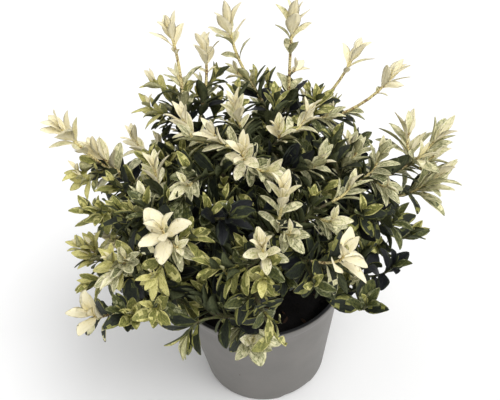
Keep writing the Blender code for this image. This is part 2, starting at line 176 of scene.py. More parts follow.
# how far a shoot turns upwards on its way out: less at the crown's lower edge
UPRIGHT_RISE = 12
LOW_RISE = 0.5
UPRIGHT_ELEVATION = 36
# shoots of these habits turn up by this much at any height, and a hanging one turns down
TURNS = {
    "spire": 0.35, "plume": 0.35, "torch": 0.8, "feather": 0.9, "dark": 2.0, "star": 6.0, "rosette": 1.6,
    "hanging": -1.3,
}
# how far a shoot keeps to its stem's way, and its tip to its own, as shares of its span
OUT_PULL = 0.35
TIP_PULL = 0.42
# a torch grows from the mass that lies this many degrees lower
TORCH_DROP = 20
# the crown's lower edge: azimuth, and the lowest elevation that leaves reach to, seen from its middle
LOWER_EDGE = (
    (-180, -12), (-165, -8), (-150, -8), (-143, 0), (-135, 6), (-126, 11), (-118, 11),
    (-92, 8), (-86, 15), (-82, 29), (-72, 30), (-68, 26), (-60, 17), (-50, 12),
    (-42, 16), (-30, 16), (-20, 11), (-10, 6), (20, 3), (50, -10), (180, -12),
)
EDGE_AZIMUTHS, EDGE_ELEVATIONS = zip(*LOWER_EDGE)
# leaves nearer than this to the crown's middle may hang lower, by so many degrees for each metre
OUTER_REACH = 0.17
INNER_SLACK = 240
FINE_SHOOTS = 1300
FINE_SPACING = 4.7
# finer shoots end at this share of the dome's reach
FINE_SHARE = 0.80
# a finer shoot leaves another where its way and bend are least, with the bend weighed by this, and
# at least so many points of the curve from the other's foot and tip
BEND_WEIGHT = 1.7
FOOT_POINTS = 2
TIP_POINTS = 4
GOLDEN_ANGLE = 137.508
SEED = 7
# a shoot that passes the dome by this is a spire
SPIRE_PROUD = 0.035
# how far the last pair of leaves reaches past its shoot, and straight outwards on these habits
TIP_LEAF_REACH = 0.016
OUTWARD_LEAF_REACH = 0.010
OUTWARD = ("spire", "plume", "torch", "feather", "hanging", "rosette")
STEM_TIP_RADIUS = 0.0020
SHOOT_RADIUS = 0.0018
SHOOT_TIP_RADIUS = 0.0010
# shoots of these habits are stout up to their tips, and two of them leafy below their tufts
STOUT_TIP_RADIUS = 0.0015
STOUT = ("spire", "plume", "torch")
LEAFY = ("plume", "torch")
STEM_FINISHES = ("stem_cream", "stem_lime", "stem_green")
STEM_STEPS = 4
SHOOT_STEPS = 14
TWIG_SIDES = 6

# Named shoots, the long bright ones first: azimuth, elevation, reach from the crown's middle, and habit
BRIGHT_SHOOTS = (
    (120, 54, 0.248, "spire"), (106, 50, 0.222, "spire"), (94, 54, 0.240, "plume"),
    (67, 51, 0.248, "plume"), (43, 43, 0.236, "spire"), (32, 35, 0.238, "spire"),
    (11, 24, 0.228, "feather"), (4, 17, 0.212, "feather"), (161, 31, 0.244, "torch"),
    (157, 26, 0.204, "torch"), (143, 32, 0.182, "flame"), (124, 43, 0.190, "lime"),
    (146, 64, 0.168, "flame"), (95, 62, 0.172, "lime"), (39, 57, 0.176, "lime"),
    (-103, 80, 0.162, "flame"), (-70, 62, 0.164, "cream"), (-134, 46, 0.172, "star"),
    (-88, 47, 0.170, "cream"), (-57, 37, 0.174, "star"), (-156, 4, 0.190, "star"),
    (-176, 12, 0.192, "lemon"), (-95, 0, 0.141, "rosette"), (-1, 44, 0.178, "silver"),
    (-115, 11, 0.178, "hanging"), (-13, 14, 0.172, "green"), (-39, 22, 0.177, "dark"),
    (-56, 19, 0.177, "green"),
)

# Smaller tufts that show between them
SECOND_SHOOTS = (
    (130, 47, 0.214, "lemon"), (121, 50, 0.206, "silver"), (111, 50, 0.190, "silver"),
    (103, 50, 0.195, "lime"), (92, 51, 0.194, "silver"), (83, 50, 0.188, "lime"),
    (64, 49, 0.200, "cream"), (57, 44, 0.183, "green"), (46, 40, 0.177, "silver"),
    (163, 69, 0.160, "silver"), (101, 73, 0.165, "cream"), (31, 65, 0.165, "flame"),
    (38, 49, 0.165, "silver"), (19, 78, 0.154, "cream"), (-64, 75, 0.143, "silver"),
    (3, 49, 0.161, "silver"), (-25, 50, 0.157, "silver"), (-17, 63, 0.152, "silver"),
    (-160, 48, 0.163, "silver"), (-144, 62, 0.157, "silver"), (-141, 56, 0.156, "green"),
    (167, 26, 0.203, "lemon"), (-176, 29, 0.176, "lime"), (-158, 43, 0.166, "lime"),
    (-122, 48, 0.159, "lime"), (-126, 43, 0.163, "silver"), (-131, 32, 0.170, "lemon"),
    (-146, 31, 0.172, "silver"), (-165, 5, 0.189, "lime"), (-135, 17, 0.179, "lime"),
    (-110, 41, 0.162, "lime"), (-104, 39, 0.163, "lime"), (-106, 57, 0.153, "dark"),
    (-73, 49, 0.155, "silver"), (-50, 47, 0.157, "silver"), (-89, 37, 0.164, "lime"),
    (-85, 24, 0.173, "lime"), (-146, 54, 0.158, "green"), (-148, 24, 0.176, "silver"),
    (-71, 32, 0.167, "green"), (-11, 37, 0.167, "silver"), (162, 27, 0.192, "lime"),
    (166, 27, 0.208, "lemon"), (172, 18, 0.190, "lime"), (-102, -4, 0.124, "hanging"),
    (134, 41, 0.196, "lemon"), (118, 46, 0.196, "lemon"), (-174, 15, 0.180, "lemon"),
    (128, 34, 0.185, "lime"), (78, 46, 0.186, "lime"), (120, 38, 0.180, "dark"),
    (112, 42, 0.185, "lime"), (9, 20, 0.215, "feather"), (6, 13, 0.196, "feather"),
    (-178, 9, 0.186, "cream"), (-172, 12, 0.184, "lemon"), (-84, 17, 0.180, "lime"),
    (13, 23, 0.198, "feather"), (15, 28, 0.205, "feather"), (5, 26, 0.200, "feather"),
    (8, 17, 0.206, "feather"),
)

# Ruled shoots whose habit is chosen. Each stands within a few degrees of this azimuth and elevation.
HABIT_RANGE = 3.0
RULED_HABITS = (
    (71, 47, "silver"), (-180, 54, "cream"), (-127, 23, "lime"), (172, 78, "cream"),
    (-138, 17, "green"), (-97, 30, "green"), (-175, -6, "silver"),
)

# What a shoot of each habit looks like: how far its leaves open, their width and length against the
# usual, and the looks of its pairs from the tip down. Paler ones come first, and grow their leaves first.
HABITS = {
    "spire": (1.00, 1.20, 0.98, "6 cream, ivory, 2 speckled, edged, green, dark"),
    "plume": (1.10, 1.20, 1.12, "4 cream, 3 ivory, 2 silver, edged, green, dark"),
    "torch": (1.15, 1.20, 1.18, "6 cream, 2 ivory, silver, edged, green, dark"),
    "flame": (0.96, 1.10, 1.06, "5 cream, 2 ivory, silver, marbled, edged, green, dark"),
    "star": (1.70, 1.38, 1.08, "lemon, 5 cream, marbled, edged, green, 3 dark"),
    "cream": (0.98, 1.12, 1.03, "4 cream, 2 ivory, 2 silver, marbled, edged, green, dark"),
    "feather": (0.90, 0.95, 1.35, "cream, 3 ivory, 3 silver, 2 speckled, edged, green, dark"),
    "silver": (1.02, 1.12, 1.02, "3 ivory, 3 silver, speckled, 2 marbled, edged, green, dark"),
    "rosette": (1.75, 1.35, 1.25, "3 ivory, 2 silver, edged, green, 5 dark"),
    "hanging": (1.60, 1.20, 1.12, "ivory, 2 silver, lime, edged, 2 green, 5 dark"),
    "lemon": (1.40, 1.18, 0.90, "2 cream, 4 lemon, 2 lime, 2 edged, green, dark"),
    "lime": (1.50, 1.22, 0.90, "2 lemon, 4 lime, olive, lime, 2 edged, green, dark"),
    "green": (1.45, 1.20, 1.02, "3 lime, 2 olive, edged, 3 green, 3 dark"),
    "dark": (1.55, 1.25, 1.06, "2 olive, green, 9 dark"),
}
# how often a ruled shoot, and a finer one, has each habit, near this azimuth and elevation
ZONES = (
    (0, 10, "5 silver, 4 green, dark", "2 silver, 5 green, 5 dark"),
    (0, 45, "3 silver, 4 green, 4 dark", "silver, 4 green, 7 dark"),
    (90, 10, "3 cream, 4 silver, 2 lime, green", "4 lime, 4 green, 3 dark"),
    (100, 58, "2 cream, 3 silver, 5 lime, green", "silver, 5 lime, 4 green, 2 dark"),
    (150, 10, "3 cream, 2 silver, 2 lemon, 3 lime", "5 lime, 5 green, 3 dark"),
    (-160, 45, "silver, 4 lime, 4 green", "5 lime, 5 green, 2 dark"),
    (-150, 5, "silver, 3 lemon, 5 lime, 2 green", "lemon, 5 lime, 4 green, 3 dark"),
    (-90, 80, "silver, 3 green, 5 dark", "3 green, 9 dark"),
    (-90, 45, "2 lime, 3 green, 4 dark", "lime, 3 green, 8 dark"),
    (-88, 14, "silver", "3 green, 7 dark"),
    (-110, 20, "3 silver, 4 lime, 2 green", "2 lime, 4 green, 6 dark"),
    (-50, 20, "3 silver, lemon, 4 green, 2 dark", "silver, 4 green, 7 dark"),
)
# chance in the place that a shoot's zone is looked up for: azimuth and elevation
ZONE_BLUR = (15, 12)

# A leaf's look: material of its edge, of its middle and of its underside, and the share of its
# faces that break the pattern
LOOKS = {
    "cream": ("leaf_cream", "leaf_cream", "under_cream", 0.0),
    "ivory": ("leaf_cream", "leaf_ivory", "under_cream", 0.12),
    "silver": ("leaf_ivory", "leaf_silver", "under_pale", 0.14),
    "speckled": ("leaf_ivory", "leaf_speckled", "under_pale", 0.16),
    "lemon": ("leaf_lemon", "leaf_lemon", "under_pale", 0.05),
    "lime": ("leaf_lemon", "leaf_lime", "under_green", 0.14),
    "olive": ("leaf_speckled", "leaf_olive", "under_green", 0.10),
    "edged": ("leaf_lime", "leaf_green", "under_green", 0.12),
    "marbled": ("leaf_ivory", "leaf_green", "under_green", 0.30),
    "green": ("leaf_olive", "leaf_green", "under_green", 0.05),
    # the middle of a dark leaf is near black: its own dark green with painted shade of the crown's inside
    "dark": ("leaf_green", "leaf_dark_painted_shade", "under_green", 0.02),
}

# Pairs of leaves from a shoot's tip down: distance below the tip, opening in degrees, length
PAIRS = (
    (0.0000, 4, 0.013), (0.0015, 9, 0.019), (0.0045, 13, 0.023), (0.0090, 17, 0.026),
    (0.0145, 22, 0.028), (0.0205, 28, 0.029), (0.0270, 35, 0.029), (0.0340, 43, 0.029),
    (0.0415, 52, 0.029), (0.0500, 61, 0.029), (0.0595, 69, 0.029), (0.0700, 77, 0.028),
)
# from this pair down the leaves are old
OLD_PAIR = 6
# on these shoots the leaves grow shorter down to the first old pair, by this share
SLENDER = ("flame", "cream", "silver")
SLENDER_TAPER = 0.18
# the leaves of these may hang below the crown's lower edge
LOOSE = ("hanging", "rosette", "star")
# these end in a few pairs alone
SHORT = ("hanging", "rosette")
SHORT_PAIRS = 6
# the first pair sits this far below the very tip
TIP_INSET = 0.0004
# a spire keeps a tuft of pairs above its bare stem, and a few more leaves on that stem
TUFT_PAIRS = 6
BARE_STEM_PAIRS = ((0.028, 34, 0.013),)
LEAFY_STEM_PAIRS = ((0.024, 30, 0.024), (0.040, 32, 0.022))
# the bare stem ends this far above the dome
BARE_END = 0.004

LEAF_WIDTH_SHARE = 0.40
YOUNG_WIDTH = 0.77
LEAF_THICKNESS = 0.0005
PETIOLE_THICKNESS = 0.0013
PETIOLE_SHARE = 0.2
# the blade's outline: places from root to tip, and half widths there of a young and of an old leaf
STATIONS = np.array([0, 0.09, 0.22, 0.38, 0.55, 0.71, 0.85, 0.95, 1.0])
YOUNG_OUTLINE = np.array([0.16, 0.34, 0.68, 0.95, 1.0, 0.78, 0.44, 0.19, 0.0])
OLD_OUTLINE = np.array([0.12, 0.18, 0.55, 0.90, 1.0, 0.92, 0.64, 0.34, 0.0])
# a leaf's rows of points across: edges, the lines between edge and middle, the rib, and the underside
ROWS = np.array([1.0, 0.7, 0.0, -0.7, -1.0, 0.0])
# a full turn in radians, and how far the waves of a leaf's edge turn from its root to its tip
FULL_TURN = 6.28
WAVE_TURN = 9
# chance in each leaf: size, opening and width against the usual, and its middle's share of the half width
SIZES = (0.86, 1.12)
OPENING_SPREAD = (0.85, 1.15)
WIDTHS = (0.88, 1.12)
MIDDLE_SHARES = (0.55, 0.85)
MIDDLE_WOBBLE = 0.2
MIDDLE_LIMITS = (0.3, 0.93)
WIDEST_OPENING = 95
# its fold along the rib, bend, twist and waves. Young leaves fold more, and old ones bend more.
FOLDS = (0.2, 0.55)
YOUNG_FOLD = 1.2
OLD_FOLD = 0.5
BENDS = (0.02, 0.36)
OLD_BEND = 0.40
TWISTS = (-0.35, 0.35)
WAVES = (0.02, 0.14)
# how far old leaves sink, how far a young face turns up to the light, and how much further an old one
DROOP = 0.16
DROOPS = (0.2, 1.3)
YOUNG_LEAN = 0.15
OLD_LEAN = 0.45
# a pair turns by a right angle and this spread from the one above, and may look like its neighbour
TURN_SPREAD = 9
LOOK_STEPS = (0, 0, 0, 0, -1, 1)
# leaves are tried at these turns round the shoot, shares of their opening, and shares of their length
LEAF_WAYS = (
    (0, 1.0, 1.0), (16, 1.0, 1.0), (-16, 1.0, 1.0), (0, 0.72, 0.95), (28, 0.85, 0.95),
    (-28, 0.85, 0.95), (0, 1.25, 0.9), (0, 0.6, 0.75),
)
LEAF_CLEARANCE = 0.0006
GROUND_CLEARANCE = 0.001
# how far leaves may pass the box of the solids
LEAF_SPARE = 0.003
SPHERE_ROWS = 4096
# where a leaf's values are cut apart: its root, along, side and face directions, then its length,
# width, six numbers for its shape, look and middle
LEAF_COLUMNS = (3, 6, 9, 12, *range(13, 22))
# flecks across and along a leaf, how fast they change from place to place, the turn of its veins from
# root to tip in radians, their slant towards the tip, and how narrow the rib is
FLECK_SCALE = 8
FLECK_CHANGE = 90
VEINS = 46
VEIN_SLANT = 34
RIB_SHARPNESS = 16

# Camera, from the photograph: 41 degrees above the horizon, with a slight roll
CAMERA_PLACE = Vector((-0.00293, -0.53421, 0.71175))
CAMERA_ELEVATION = 41
CAMERA_ROLL = -4.9
CAMERA_LENS = 50.4
SENSOR_WIDTH = 36

KEY_STRENGTH = 1.7
KEY_SOFTNESS = 40
KEY_AZIMUTH = -34
KEY_ELEVATION = 58
SKY_STRENGTH = 0.76
FLOOR_SIZE = 8
FLOOR_DROP = 0.0002


def linear(red, green, blue):
    """A colour from 0 to 255 per channel as the linear colour that shaders use."""
    channels = []
    for value in (red, green, blue):
        share = value / 255
        channels.append(share / 12.92 if share <= 0.04045 else ((share + 0.055) / 1.055) ** 2.4)
    return (*channels, 1.0)


class Wire:
    """A shader output that adds its Math nodes as an expression uses it."""

    def __init__(self, board, socket):
        self.board = board
        self.socket = socket

    def math(self, operation, *values):
        return self.board.node("ShaderNodeMath", {"operation": operation}, [self, *values])

    def __add__(self, other):
        return self.math("ADD", other)

    def __sub__(self, other):
        return self.math("SUBTRACT", other)

    def __rsub__(self, other):
        return self.board.node("ShaderNodeMath", {"operation": "SUBTRACT"}, [other, self])

    def __mul__(self, other):
        return self.math("MULTIPLY", other)

    def __pow__(self, other):
        return self.math("POWER", other)

    __radd__ = __add__
    __rmul__ = __mul__

    def clamp(self):
        return self.board.node("ShaderNodeClamp", {}, {"Value": self})

    def steep(self, level, gain):
        """A mask that rises from 0 to 1 round this level."""
        return ((self - level) * gain + 0.5).clamp()


class Board:
    """A material and the nodes that paint it."""

    def __init__(self, name):
        self.material = bpy.data.materials.new(name)
        self.material.use_nodes = True
        self.tree = self.material.node_tree
        self.shader = self.tree.nodes["Principled BSDF"]

    def node(self, kind, settings=None, values=(), output=0):
        made = self.tree.nodes.new(kind)
        for key, value in (settings or {}).items():
            setattr(made, key, value)
        pairs = values.items() if isinstance(values, dict) else enumerate(values)
        for key, value in pairs:
            self.feed(made.inputs[key], value)
        return Wire(self, made.outputs[output])

    def feed(self, socket, value):
        if isinstance(value, Wire):
            self.tree.links.new(value.socket, socket)
        else:
            socket.default_value = value

    def place(self):
        return self.node("ShaderNodeTexCoord", output="Object")

    def leaf_map(self):
        return self.node("ShaderNodeUVMap", {"uv_map": "blade"})

    def noise(self, scale, detail=2.0, roughness=0.5, where=None):
        values = {"Vector": where or self.place(), "Scale": scale, "Detail": detail, "Roughness": roughness}
        return self.node("ShaderNodeTexNoise", {"noise_dimensions": "3D"}, values)

    def mix(self, share, first, second):
        return self.node("ShaderNodeMix", {"data_type": "RGBA"}, {0: share, 6: first, 7: second}, output=2)

    def finish(self, colour, roughness, relief=None, depth=0.0002, **constants):
        self.feed(self.shader.inputs["Base Color"], colour)
        self.feed(self.shader.inputs["Roughness"], roughness)
        for name, value in constants.items():
            self.shader.inputs[name.replace("_", " ")].default_value = value
        if relief is not None:
            bump = self.node("ShaderNodeBump", {}, {"Height": relief, "Distance": depth, "Strength": 1.0})
            self.feed(self.shader.inputs["Normal"], bump)
        return self.material


def leaf_material(name, ground, fleck, cover, gloss, shade):
    """Leaf skin: a ground colour, finer flecks along the blade over a share of it, and raised veins."""
    board = Board(name)
    across = board.node("ShaderNodeSeparateXYZ", {}, [board.leaf_map()])
    along = Wire(board, across.socket.node.outputs["Y"])
    # where the leaf lies moves its pattern on, so that leaves differ
    moved = board.node("ShaderNodeSeparateXYZ", {}, [board.place()]) * FLECK_CHANGE
    streak = board.node("ShaderNodeCombineXYZ", {}, [across * FLECK_SCALE, along * FLECK_SCALE, moved])
    fine = board.noise(1.0, 3.0, 0.65, where=streak)
    soft = board.noise(38, 1.0)
    flecks = fine.steep(0.66 - 0.34 * cover, 9)
    colour = board.mix(flecks, linear(*ground), linear(*fleck))
    colour = board.mix((soft - 0.42) * 1.4 * shade, colour, linear(*(0.62 * c for c in ground)))
    side = (across - 0.5).math("ABSOLUTE")
    veins = ((along * VEINS - side * VEIN_SLANT).math("SINE") * 0.5 + 0.5) ** 3
    rib = (1 - side * RIB_SHARPNESS).clamp()
    relief = veins * -0.35 + rib * -0.9 + fine * 0.25
    roughness = gloss + fine * 0.16 + soft * 0.10
    return board.finish(colour, roughness, relief, 0.00022, Specular_IOR_Level=0.26)


def stem_material(name, ground, bark, cover):
    """Young bark: pale or green, with brown corky flecks in lines along it."""
    board = Board(name)
    fine = board.noise(620, 2.0, 0.6)
    broad = board.noise(120, 2.0)
    flecks = (fine * 0.7 + broad * 0.3).steep(0.66 - 0.3 * cover, 14)
    colour = board.mix(flecks, linear(*ground), linear(*bark))
    return board.finish(colour, 0.55 + fine * 0.2, flecks * 0.6 + fine * 0.4, 0.00025)


def bark_material():
    """Old bark: brown with greenish clouds and dark cracks."""
    board = Board("old_bark")
    fine = board.noise(700, 4.0, 0.65)
    broad = board.noise(90, 2.0)
    colour = board.mix(broad.steep(0.5, 5), linear(92, 80, 56), linear(70, 74, 44))
    colour = board.mix(fine.steep(0.56, 10), colour, linear(38, 32, 24))
    return board.finish(colour, 0.7 + fine * 0.2, fine, 0.0005)


def pot_material(name, colour, worn, gloss):
    """Moulded plastic, with faint mottling and a fine grain."""
    board = Board(name)
    grain = board.noise(1500, 2.0, 0.6)
    cloud = board.noise(22, 3.0, 0.55)
    tint = board.mix((cloud - 0.35) * 1.6, linear(*colour), linear(*worn))
    return board.finish(tint, gloss + cloud * 0.16, grain * 0.5 + cloud * 0.5, 0.00012)


def compost_material(name, dark, light, gloss):
    """Damp crumbs or bark chips: dark, with paler specks and darker clouds."""
    board = Board(name)
    fine = board.noise(900, 4.0, 0.7)
    broad = board.noise(110, 3.0)
    colour = board.mix(fine.steep(0.6, 9), linear(*dark), linear(*light))
    colour = board.mix(broad.steep(0.62, 6) * 0.6, colour, linear(*(0.5 * c for c in dark)))
    return board.finish(colour, gloss, fine, 0.0008)


def floor_material():
    """Pale card, with the faintest of clouds."""
    board = Board("pale_floor")
    cloud = board.noise(3, 2.0)
    return board.finish(board.mix(cloud, (0.93, 0.93, 0.93, 1), (0.95, 0.95, 0.95, 1)), 0.9)


def make_materials():
    """Every finish of the plant and its pot, by name."""
    leaf_skins = {
        # name: ground, flecks, share of flecks, roughness, how much it is shaded in clouds
        "leaf_cream": ((253, 245, 212), (238, 229, 176), 0.15, 0.50, 0.06),
        "leaf_ivory": ((241, 235, 196), (199, 198, 142), 0.34, 0.50, 0.14),
        "leaf_silver": ((213, 209, 168), (147, 149, 108), 0.45, 0.48, 0.20),
        "leaf_speckled": ((171, 171, 126), (91, 98, 64), 0.50, 0.42, 0.25),
        "leaf_lemon": ((224, 217, 146), (188, 183, 104), 0.35, 0.44, 0.20),
        "leaf_lime": ((155, 154, 86), (113, 116, 60), 0.45, 0.42, 0.30),
        "leaf_olive": ((101, 105, 58), (64, 71, 40), 0.50, 0.44, 0.35),
        "leaf_green": ((46, 52, 36), (31, 36, 29), 0.45, 0.44, 0.35),
        # near black: the old leaves' own dark green, darkened further as painted shade of the crown's deep
        # inside
        "leaf_dark_painted_shade": ((21, 24, 27), (13, 15, 20), 0.45, 0.42, 0.35),
        "under_cream": ((247, 237, 202), (233, 221, 174), 0.20, 0.55, 0.08),
        "under_pale": ((193, 189, 144), (155, 154, 110), 0.40, 0.55, 0.20),
        "under_green": ((90, 95, 64), (68, 75, 50), 0.40, 0.55, 0.30),
    }
    made = {name: leaf_material(name, *finish) for name, finish in leaf_skins.items()}
    made["stem_cream"] = stem_material("stem_cream", (226, 212, 150), (120, 84, 48), 0.42)
    made["stem_lime"] = stem_material("stem_lime", (150, 150, 76), (104, 92, 48), 0.40)
    made["stem_green"] = stem_material("stem_green", (84, 88, 46), (74, 62, 38), 0.45)
    made["old_bark"] = bark_material()
    made["pot_outside"] = pot_material("pot_outside", (114, 111, 107), (105, 103, 100), 0.42)
    # the same grey plastic made darker: painted shade inside the pot and on its lip top
    made["pot_inside_painted_shade"] = pot_material("pot_inside_painted_shade", (64, 64, 66), (52, 52, 55), 0.45)
    made["compost"] = compost_material("compost", (22, 19, 20), (46, 37, 32), 0.92)
    made["bark_chip"] = compost_material("bark_chip", (74, 50, 36), (112, 82, 60), 0.8)
    made["pale_floor"] = floor_material()
    return made


def new_piece(name, mesh, finishes):
    piece = bpy.data.objects.new(name, mesh)
    bpy.context.scene.collection.objects.link(piece)
    for finish in finishes:
        mesh.materials.append(FINISH[finish])
    return piece


def carry(piece, nodes):
    """The finished piece rides on the one body and stands for these nodes."""
    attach(piece, "root")
    if nodes:
        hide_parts(*nodes)
    return piece


def polar(azimuth, elevation, reach=1.0):
    a = math.radians(azimuth)
    e = math.radians(elevation)
    return Vector((math.cos(a) * math.cos(e), math.sin(a) * math.cos(e), math.sin(e))) * reach


def curve(a, b, c, d, steps):
    """Points of a smooth curve from a to d, pulled towards b and c."""
    points = []
    for i in range(steps + 1):
        t = i / steps
        u = 1 - t
        points.append(a * u ** 3 + b * 3 * u * u * t + c * 3 * u * t * t + d * t ** 3)
    return points


def cut_at(path, distance):
    """The path's two parts, before and after this distance along it."""
    for i, (a, b) in enumerate(zip(path, path[1:])):
        step = (b - a).length
        if distance <= step:
            point = a.lerp(b, distance / step)
            return path[: i + 1] + [point], [point] + path[i + 1:]
        distance -= step
    return path, []


def rings_along(path, radii, sides, flare=None):
    """Rings of points round the path, without twist."""
    side = Vector((1, 0, 0)) if abs((path[1] - path[0]).normalized().x) < 0.8 else Vector((0, 1, 0))
    rings = []
    for i, (point, radius) in enumerate(zip(path, radii)):
        along = (path[min(i + 1, len(path) - 1)] - path[max(i - 1, 0)]).normalized()
        side = (side - along * side.dot(along)).normalized()
        across = along.cross(side)
        ring = []
        for k in range(sides):
            angle = 2 * math.pi * k / sides
            width = radius * (1 + (flare(i, angle) if flare else 0))
            ring.append(point + (side * math.cos(angle) + across * math.sin(angle)) * width)
        rings.append(ring)
    return rings


class Builder:
    """Gathers points and faces of many small shapes for one mesh."""

    def __init__(self):
        self.points = []
        self.faces = []
        self.slots = []

    def tube(self, path, radii, sides, slot=0, flare=None):
        first = len(self.points)
        rings = rings_along(path, radii, sides, flare)
        for ring in rings:
            self.points += ring
        last = len(rings) - 1
        self.faces.append([first + k for k in range(sides)][::-1])
        for i in range(last):
            for k in range(sides):
                n = (k + 1) % sides
                low = first + i * sides
                self.faces.append([low + k, low + n, low + sides + n, low + sides + k])
        self.faces.append([first + last * sides + k for k in range(sides)])
        self.slots += [slot] * (last * sides + 2)

    def mesh(self, name):
        mesh = bpy.data.meshes.new(name)
        mesh.from_pydata([tuple(p) for p in self.points], [], self.faces)
        mesh.polygons.foreach_set("material_index", self.slots)
        mesh.shade_smooth()
        mesh.update()
        return mesh


def turned(name, profile, segments, shift):
    """A closed body of revolution. The profile starts and ends on the axis."""
    bm = bmesh.new()
    rings = []
    for radius, height in profile[1:-1]:
        ring = []
        for k in range(segments):
            angle = 2 * math.pi * k / segments
            x, y, z = shift(radius, height, angle)
            ring.append(bm.verts.new((x, y, z)))
        rings.append(ring)
    first = bm.verts.new((0, 0, profile[0][1]))
    last = bm.verts.new((0, 0, profile[-1][1]))
    for k in range(segments):
        n = (k + 1) % segments
        bm.faces.new((first, rings[0][n], rings[0][k]))
        for low, high in zip(rings, rings[1:]):
            bm.faces.new((low[k], low[n], high[n], high[k]))
        bm.faces.new((last, rings[-1][k], rings[-1][n]))
    mesh = bpy.data.meshes.new(name)
    bm.to_mesh(mesh)
    bm.free()
    return mesh


def applied(piece):
    """The piece's mesh with its modifiers applied, and none left on it."""
    graph = bpy.context.evaluated_depsgraph_get()
    result = bpy.data.meshes.new_from_object(piece.evaluated_get(graph))
    piece.modifiers.clear()
    piece.data = result
    return piece


def wall_radius(height):
    """The radius of the pot's outside wall below its collar."""
    return FOOT_RADIUS + (NECK_RADIUS - FOOT_RADIUS) * height / (POT_HEIGHT - COLLAR_HEIGHT)


def arc(centre_radius, centre_height, radius, start, end, steps):
    """Points of an arc in the profile's plane, in degrees from outwards towards up."""
    points = []
    for i in range(steps + 1):
        angle = math.radians(start + (end - start) * i / steps)
        points.append((centre_radius + radius * math.cos(angle), centre_height + radius * math.sin(angle)))
    return points


def pot_profile():
    """The pot's section, from the middle of its underside round its lip to the middle of its floor."""
    neck_height = POT_HEIGHT - COLLAR_HEIGHT
    lip = RIM_RADIUS - LIP_WIDTH
    wall = [(wall_radius(z), z) for z in np.linspace(FOOT_ROUNDING * 1.5, neck_height, WALL_RINGS)]
    collar = []
    for t in np.linspace(0.08, 0.95, COLLAR_RINGS):
        out = (RIM_RADIUS - NECK_RADIUS) * math.sin(math.pi / 2 * t)
        collar.append((NECK_RADIUS + out, neck_height + COLLAR_HEIGHT * t))
    inner_neck = NECK_RADIUS - WALL
    inner_foot = FOOT_RADIUS - WALL
    inside = [
        (inner_foot + (inner_neck - inner_foot) * s, FLOOR_THICKNESS + (neck_height - FLOOR_THICKNESS) * s)
        for s in np.linspace(1, 0, INSIDE_RINGS)
    ]
    return [
        (0, 0),
        (HUB_RADIUS - BEVEL, 0),
        (HUB_RADIUS + UNDERSIDE_RISE, UNDERSIDE_RISE),
        (RING_INNER - UNDERSIDE_RISE, UNDERSIDE_RISE),
        (RING_INNER, SLIVER),
        (RING_INNER + BEVEL, 0),
        *arc(FOOT_RADIUS - FOOT_ROUNDING, FOOT_ROUNDING, FOOT_ROUNDING, -90, -8, 5),
        *wall,
        *collar,
        *arc(RIM_RADIUS - LIP_ROUNDING, POT_HEIGHT - LIP_ROUNDING, LIP_ROUNDING, 10, 90, 4),
        *arc(lip + LIP_ROUNDING, POT_HEIGHT - LIP_ROUNDING, LIP_ROUNDING, 90, 170, 4),
        *inside,
        (0, FLOOR_THICKNESS),
    ]


def pot_point(radius, height, angle):
    """A point of the pot's surface: its foot ring is lifted softly at each gap."""
    rise = height
    if radius > RING_INNER - UNDERSIDE_RISE and height < UNDERSIDE_RISE * 2:
        period = 360 / FOOT_GAPS
        turn = (math.degrees(angle) - FOOT_GAP_AZIMUTH + period / 2) % period - period / 2
        gap = max(0.0, min(1.0, (FOOT_GAP_ANGLE / 2 - abs(turn)) / FOOT_GAP_SOFTNESS + 0.5))
        lift = (UNDERSIDE_RISE - SLIVER) * gap * gap * (3 - 2 * gap)
        rise = lift + height * (1 - lift / (UNDERSIDE_RISE * 2))
    return radius * math.cos(angle), radius * math.sin(angle), rise


def cut_drain_holes(pot):
    holes = Builder()
    for i in range(DRAIN_HOLES):
        middle = polar(360 / DRAIN_HOLES * (i + 0.5), 0, DRAIN_CIRCLE_RADIUS)
        path = [middle + Vector((0, 0, z)) for z in (-0.01, FLOOR_THICKNESS + 0.01)]
        holes.tube(path, [DRAIN_HOLE_RADIUS] * 2, DRAIN_HOLE_SIDES)
    cutter = bpy.data.objects.new("drain_holes", holes.mesh("drain_holes"))
    bpy.context.scene.collection.objects.link(cutter)
    cut = pot.modifiers.new("Drain holes", "BOOLEAN")
    cut.operation = "DIFFERENCE"
    cut.object = cutter
    cut.solver = "EXACT"
    applied(pot)
    bpy.data.objects.remove(cutter)


def make_pot():
    """The tapered pot with its flared collar, rounded lip, foot ring with three soft gaps, and holes."""
    mesh = turned("pot_shell", pot_profile(), POT_SEGMENTS, pot_point)
    pot = new_piece("pot_shell", mesh, ("pot_outside", "pot_inside_painted_shade"))
    cut_drain_holes(pot)
    mesh = pot.data
    # faces inside the pot and on the lip's top get the darker copy of the plastic, as painted shade
    for face in mesh.polygons:
        middle = face.center
        radius = math.hypot(middle.x, middle.y)
        inner = radius < wall_radius(middle.z) - WALL * 0.6 and middle.z > UNDERSIDE_RISE + BEVEL
        on_lip = middle.z > POT_HEIGHT - LIP_ROUNDING * 0.6
        face.material_index = 1 if inner or (on_lip and radius < RIM_RADIUS - LIP_ROUNDING) else 0
    mesh.shade_smooth()
    mesh.set_sharp_from_angle(angle=math.radians(CRISP_ANGLE))
    return pot


def compost_height(x, y):
    """The height of the compost's bumpy top, flat at the trunk."""
    away = math.hypot(x, y)
    bumps = noise.fractal(Vector((x, y, 0.3)) * BUMP_FREQUENCY, 1.0, 2.2, 3) * COMPOST_BUMP
    grit = noise.noise(Vector((x, y, 0.9)) * GRIT_FREQUENCY) * GRIT_HEIGHT
    fade = min(1.0, max(0.0, (away - TRUNK_FOOT_RADIUS * 1.2) / FLAT_ROUND))
    return COMPOST_TOP + max(-COMPOST_BUMP, min(COMPOST_BUMP, bumps * 1.6 + grit)) * fade


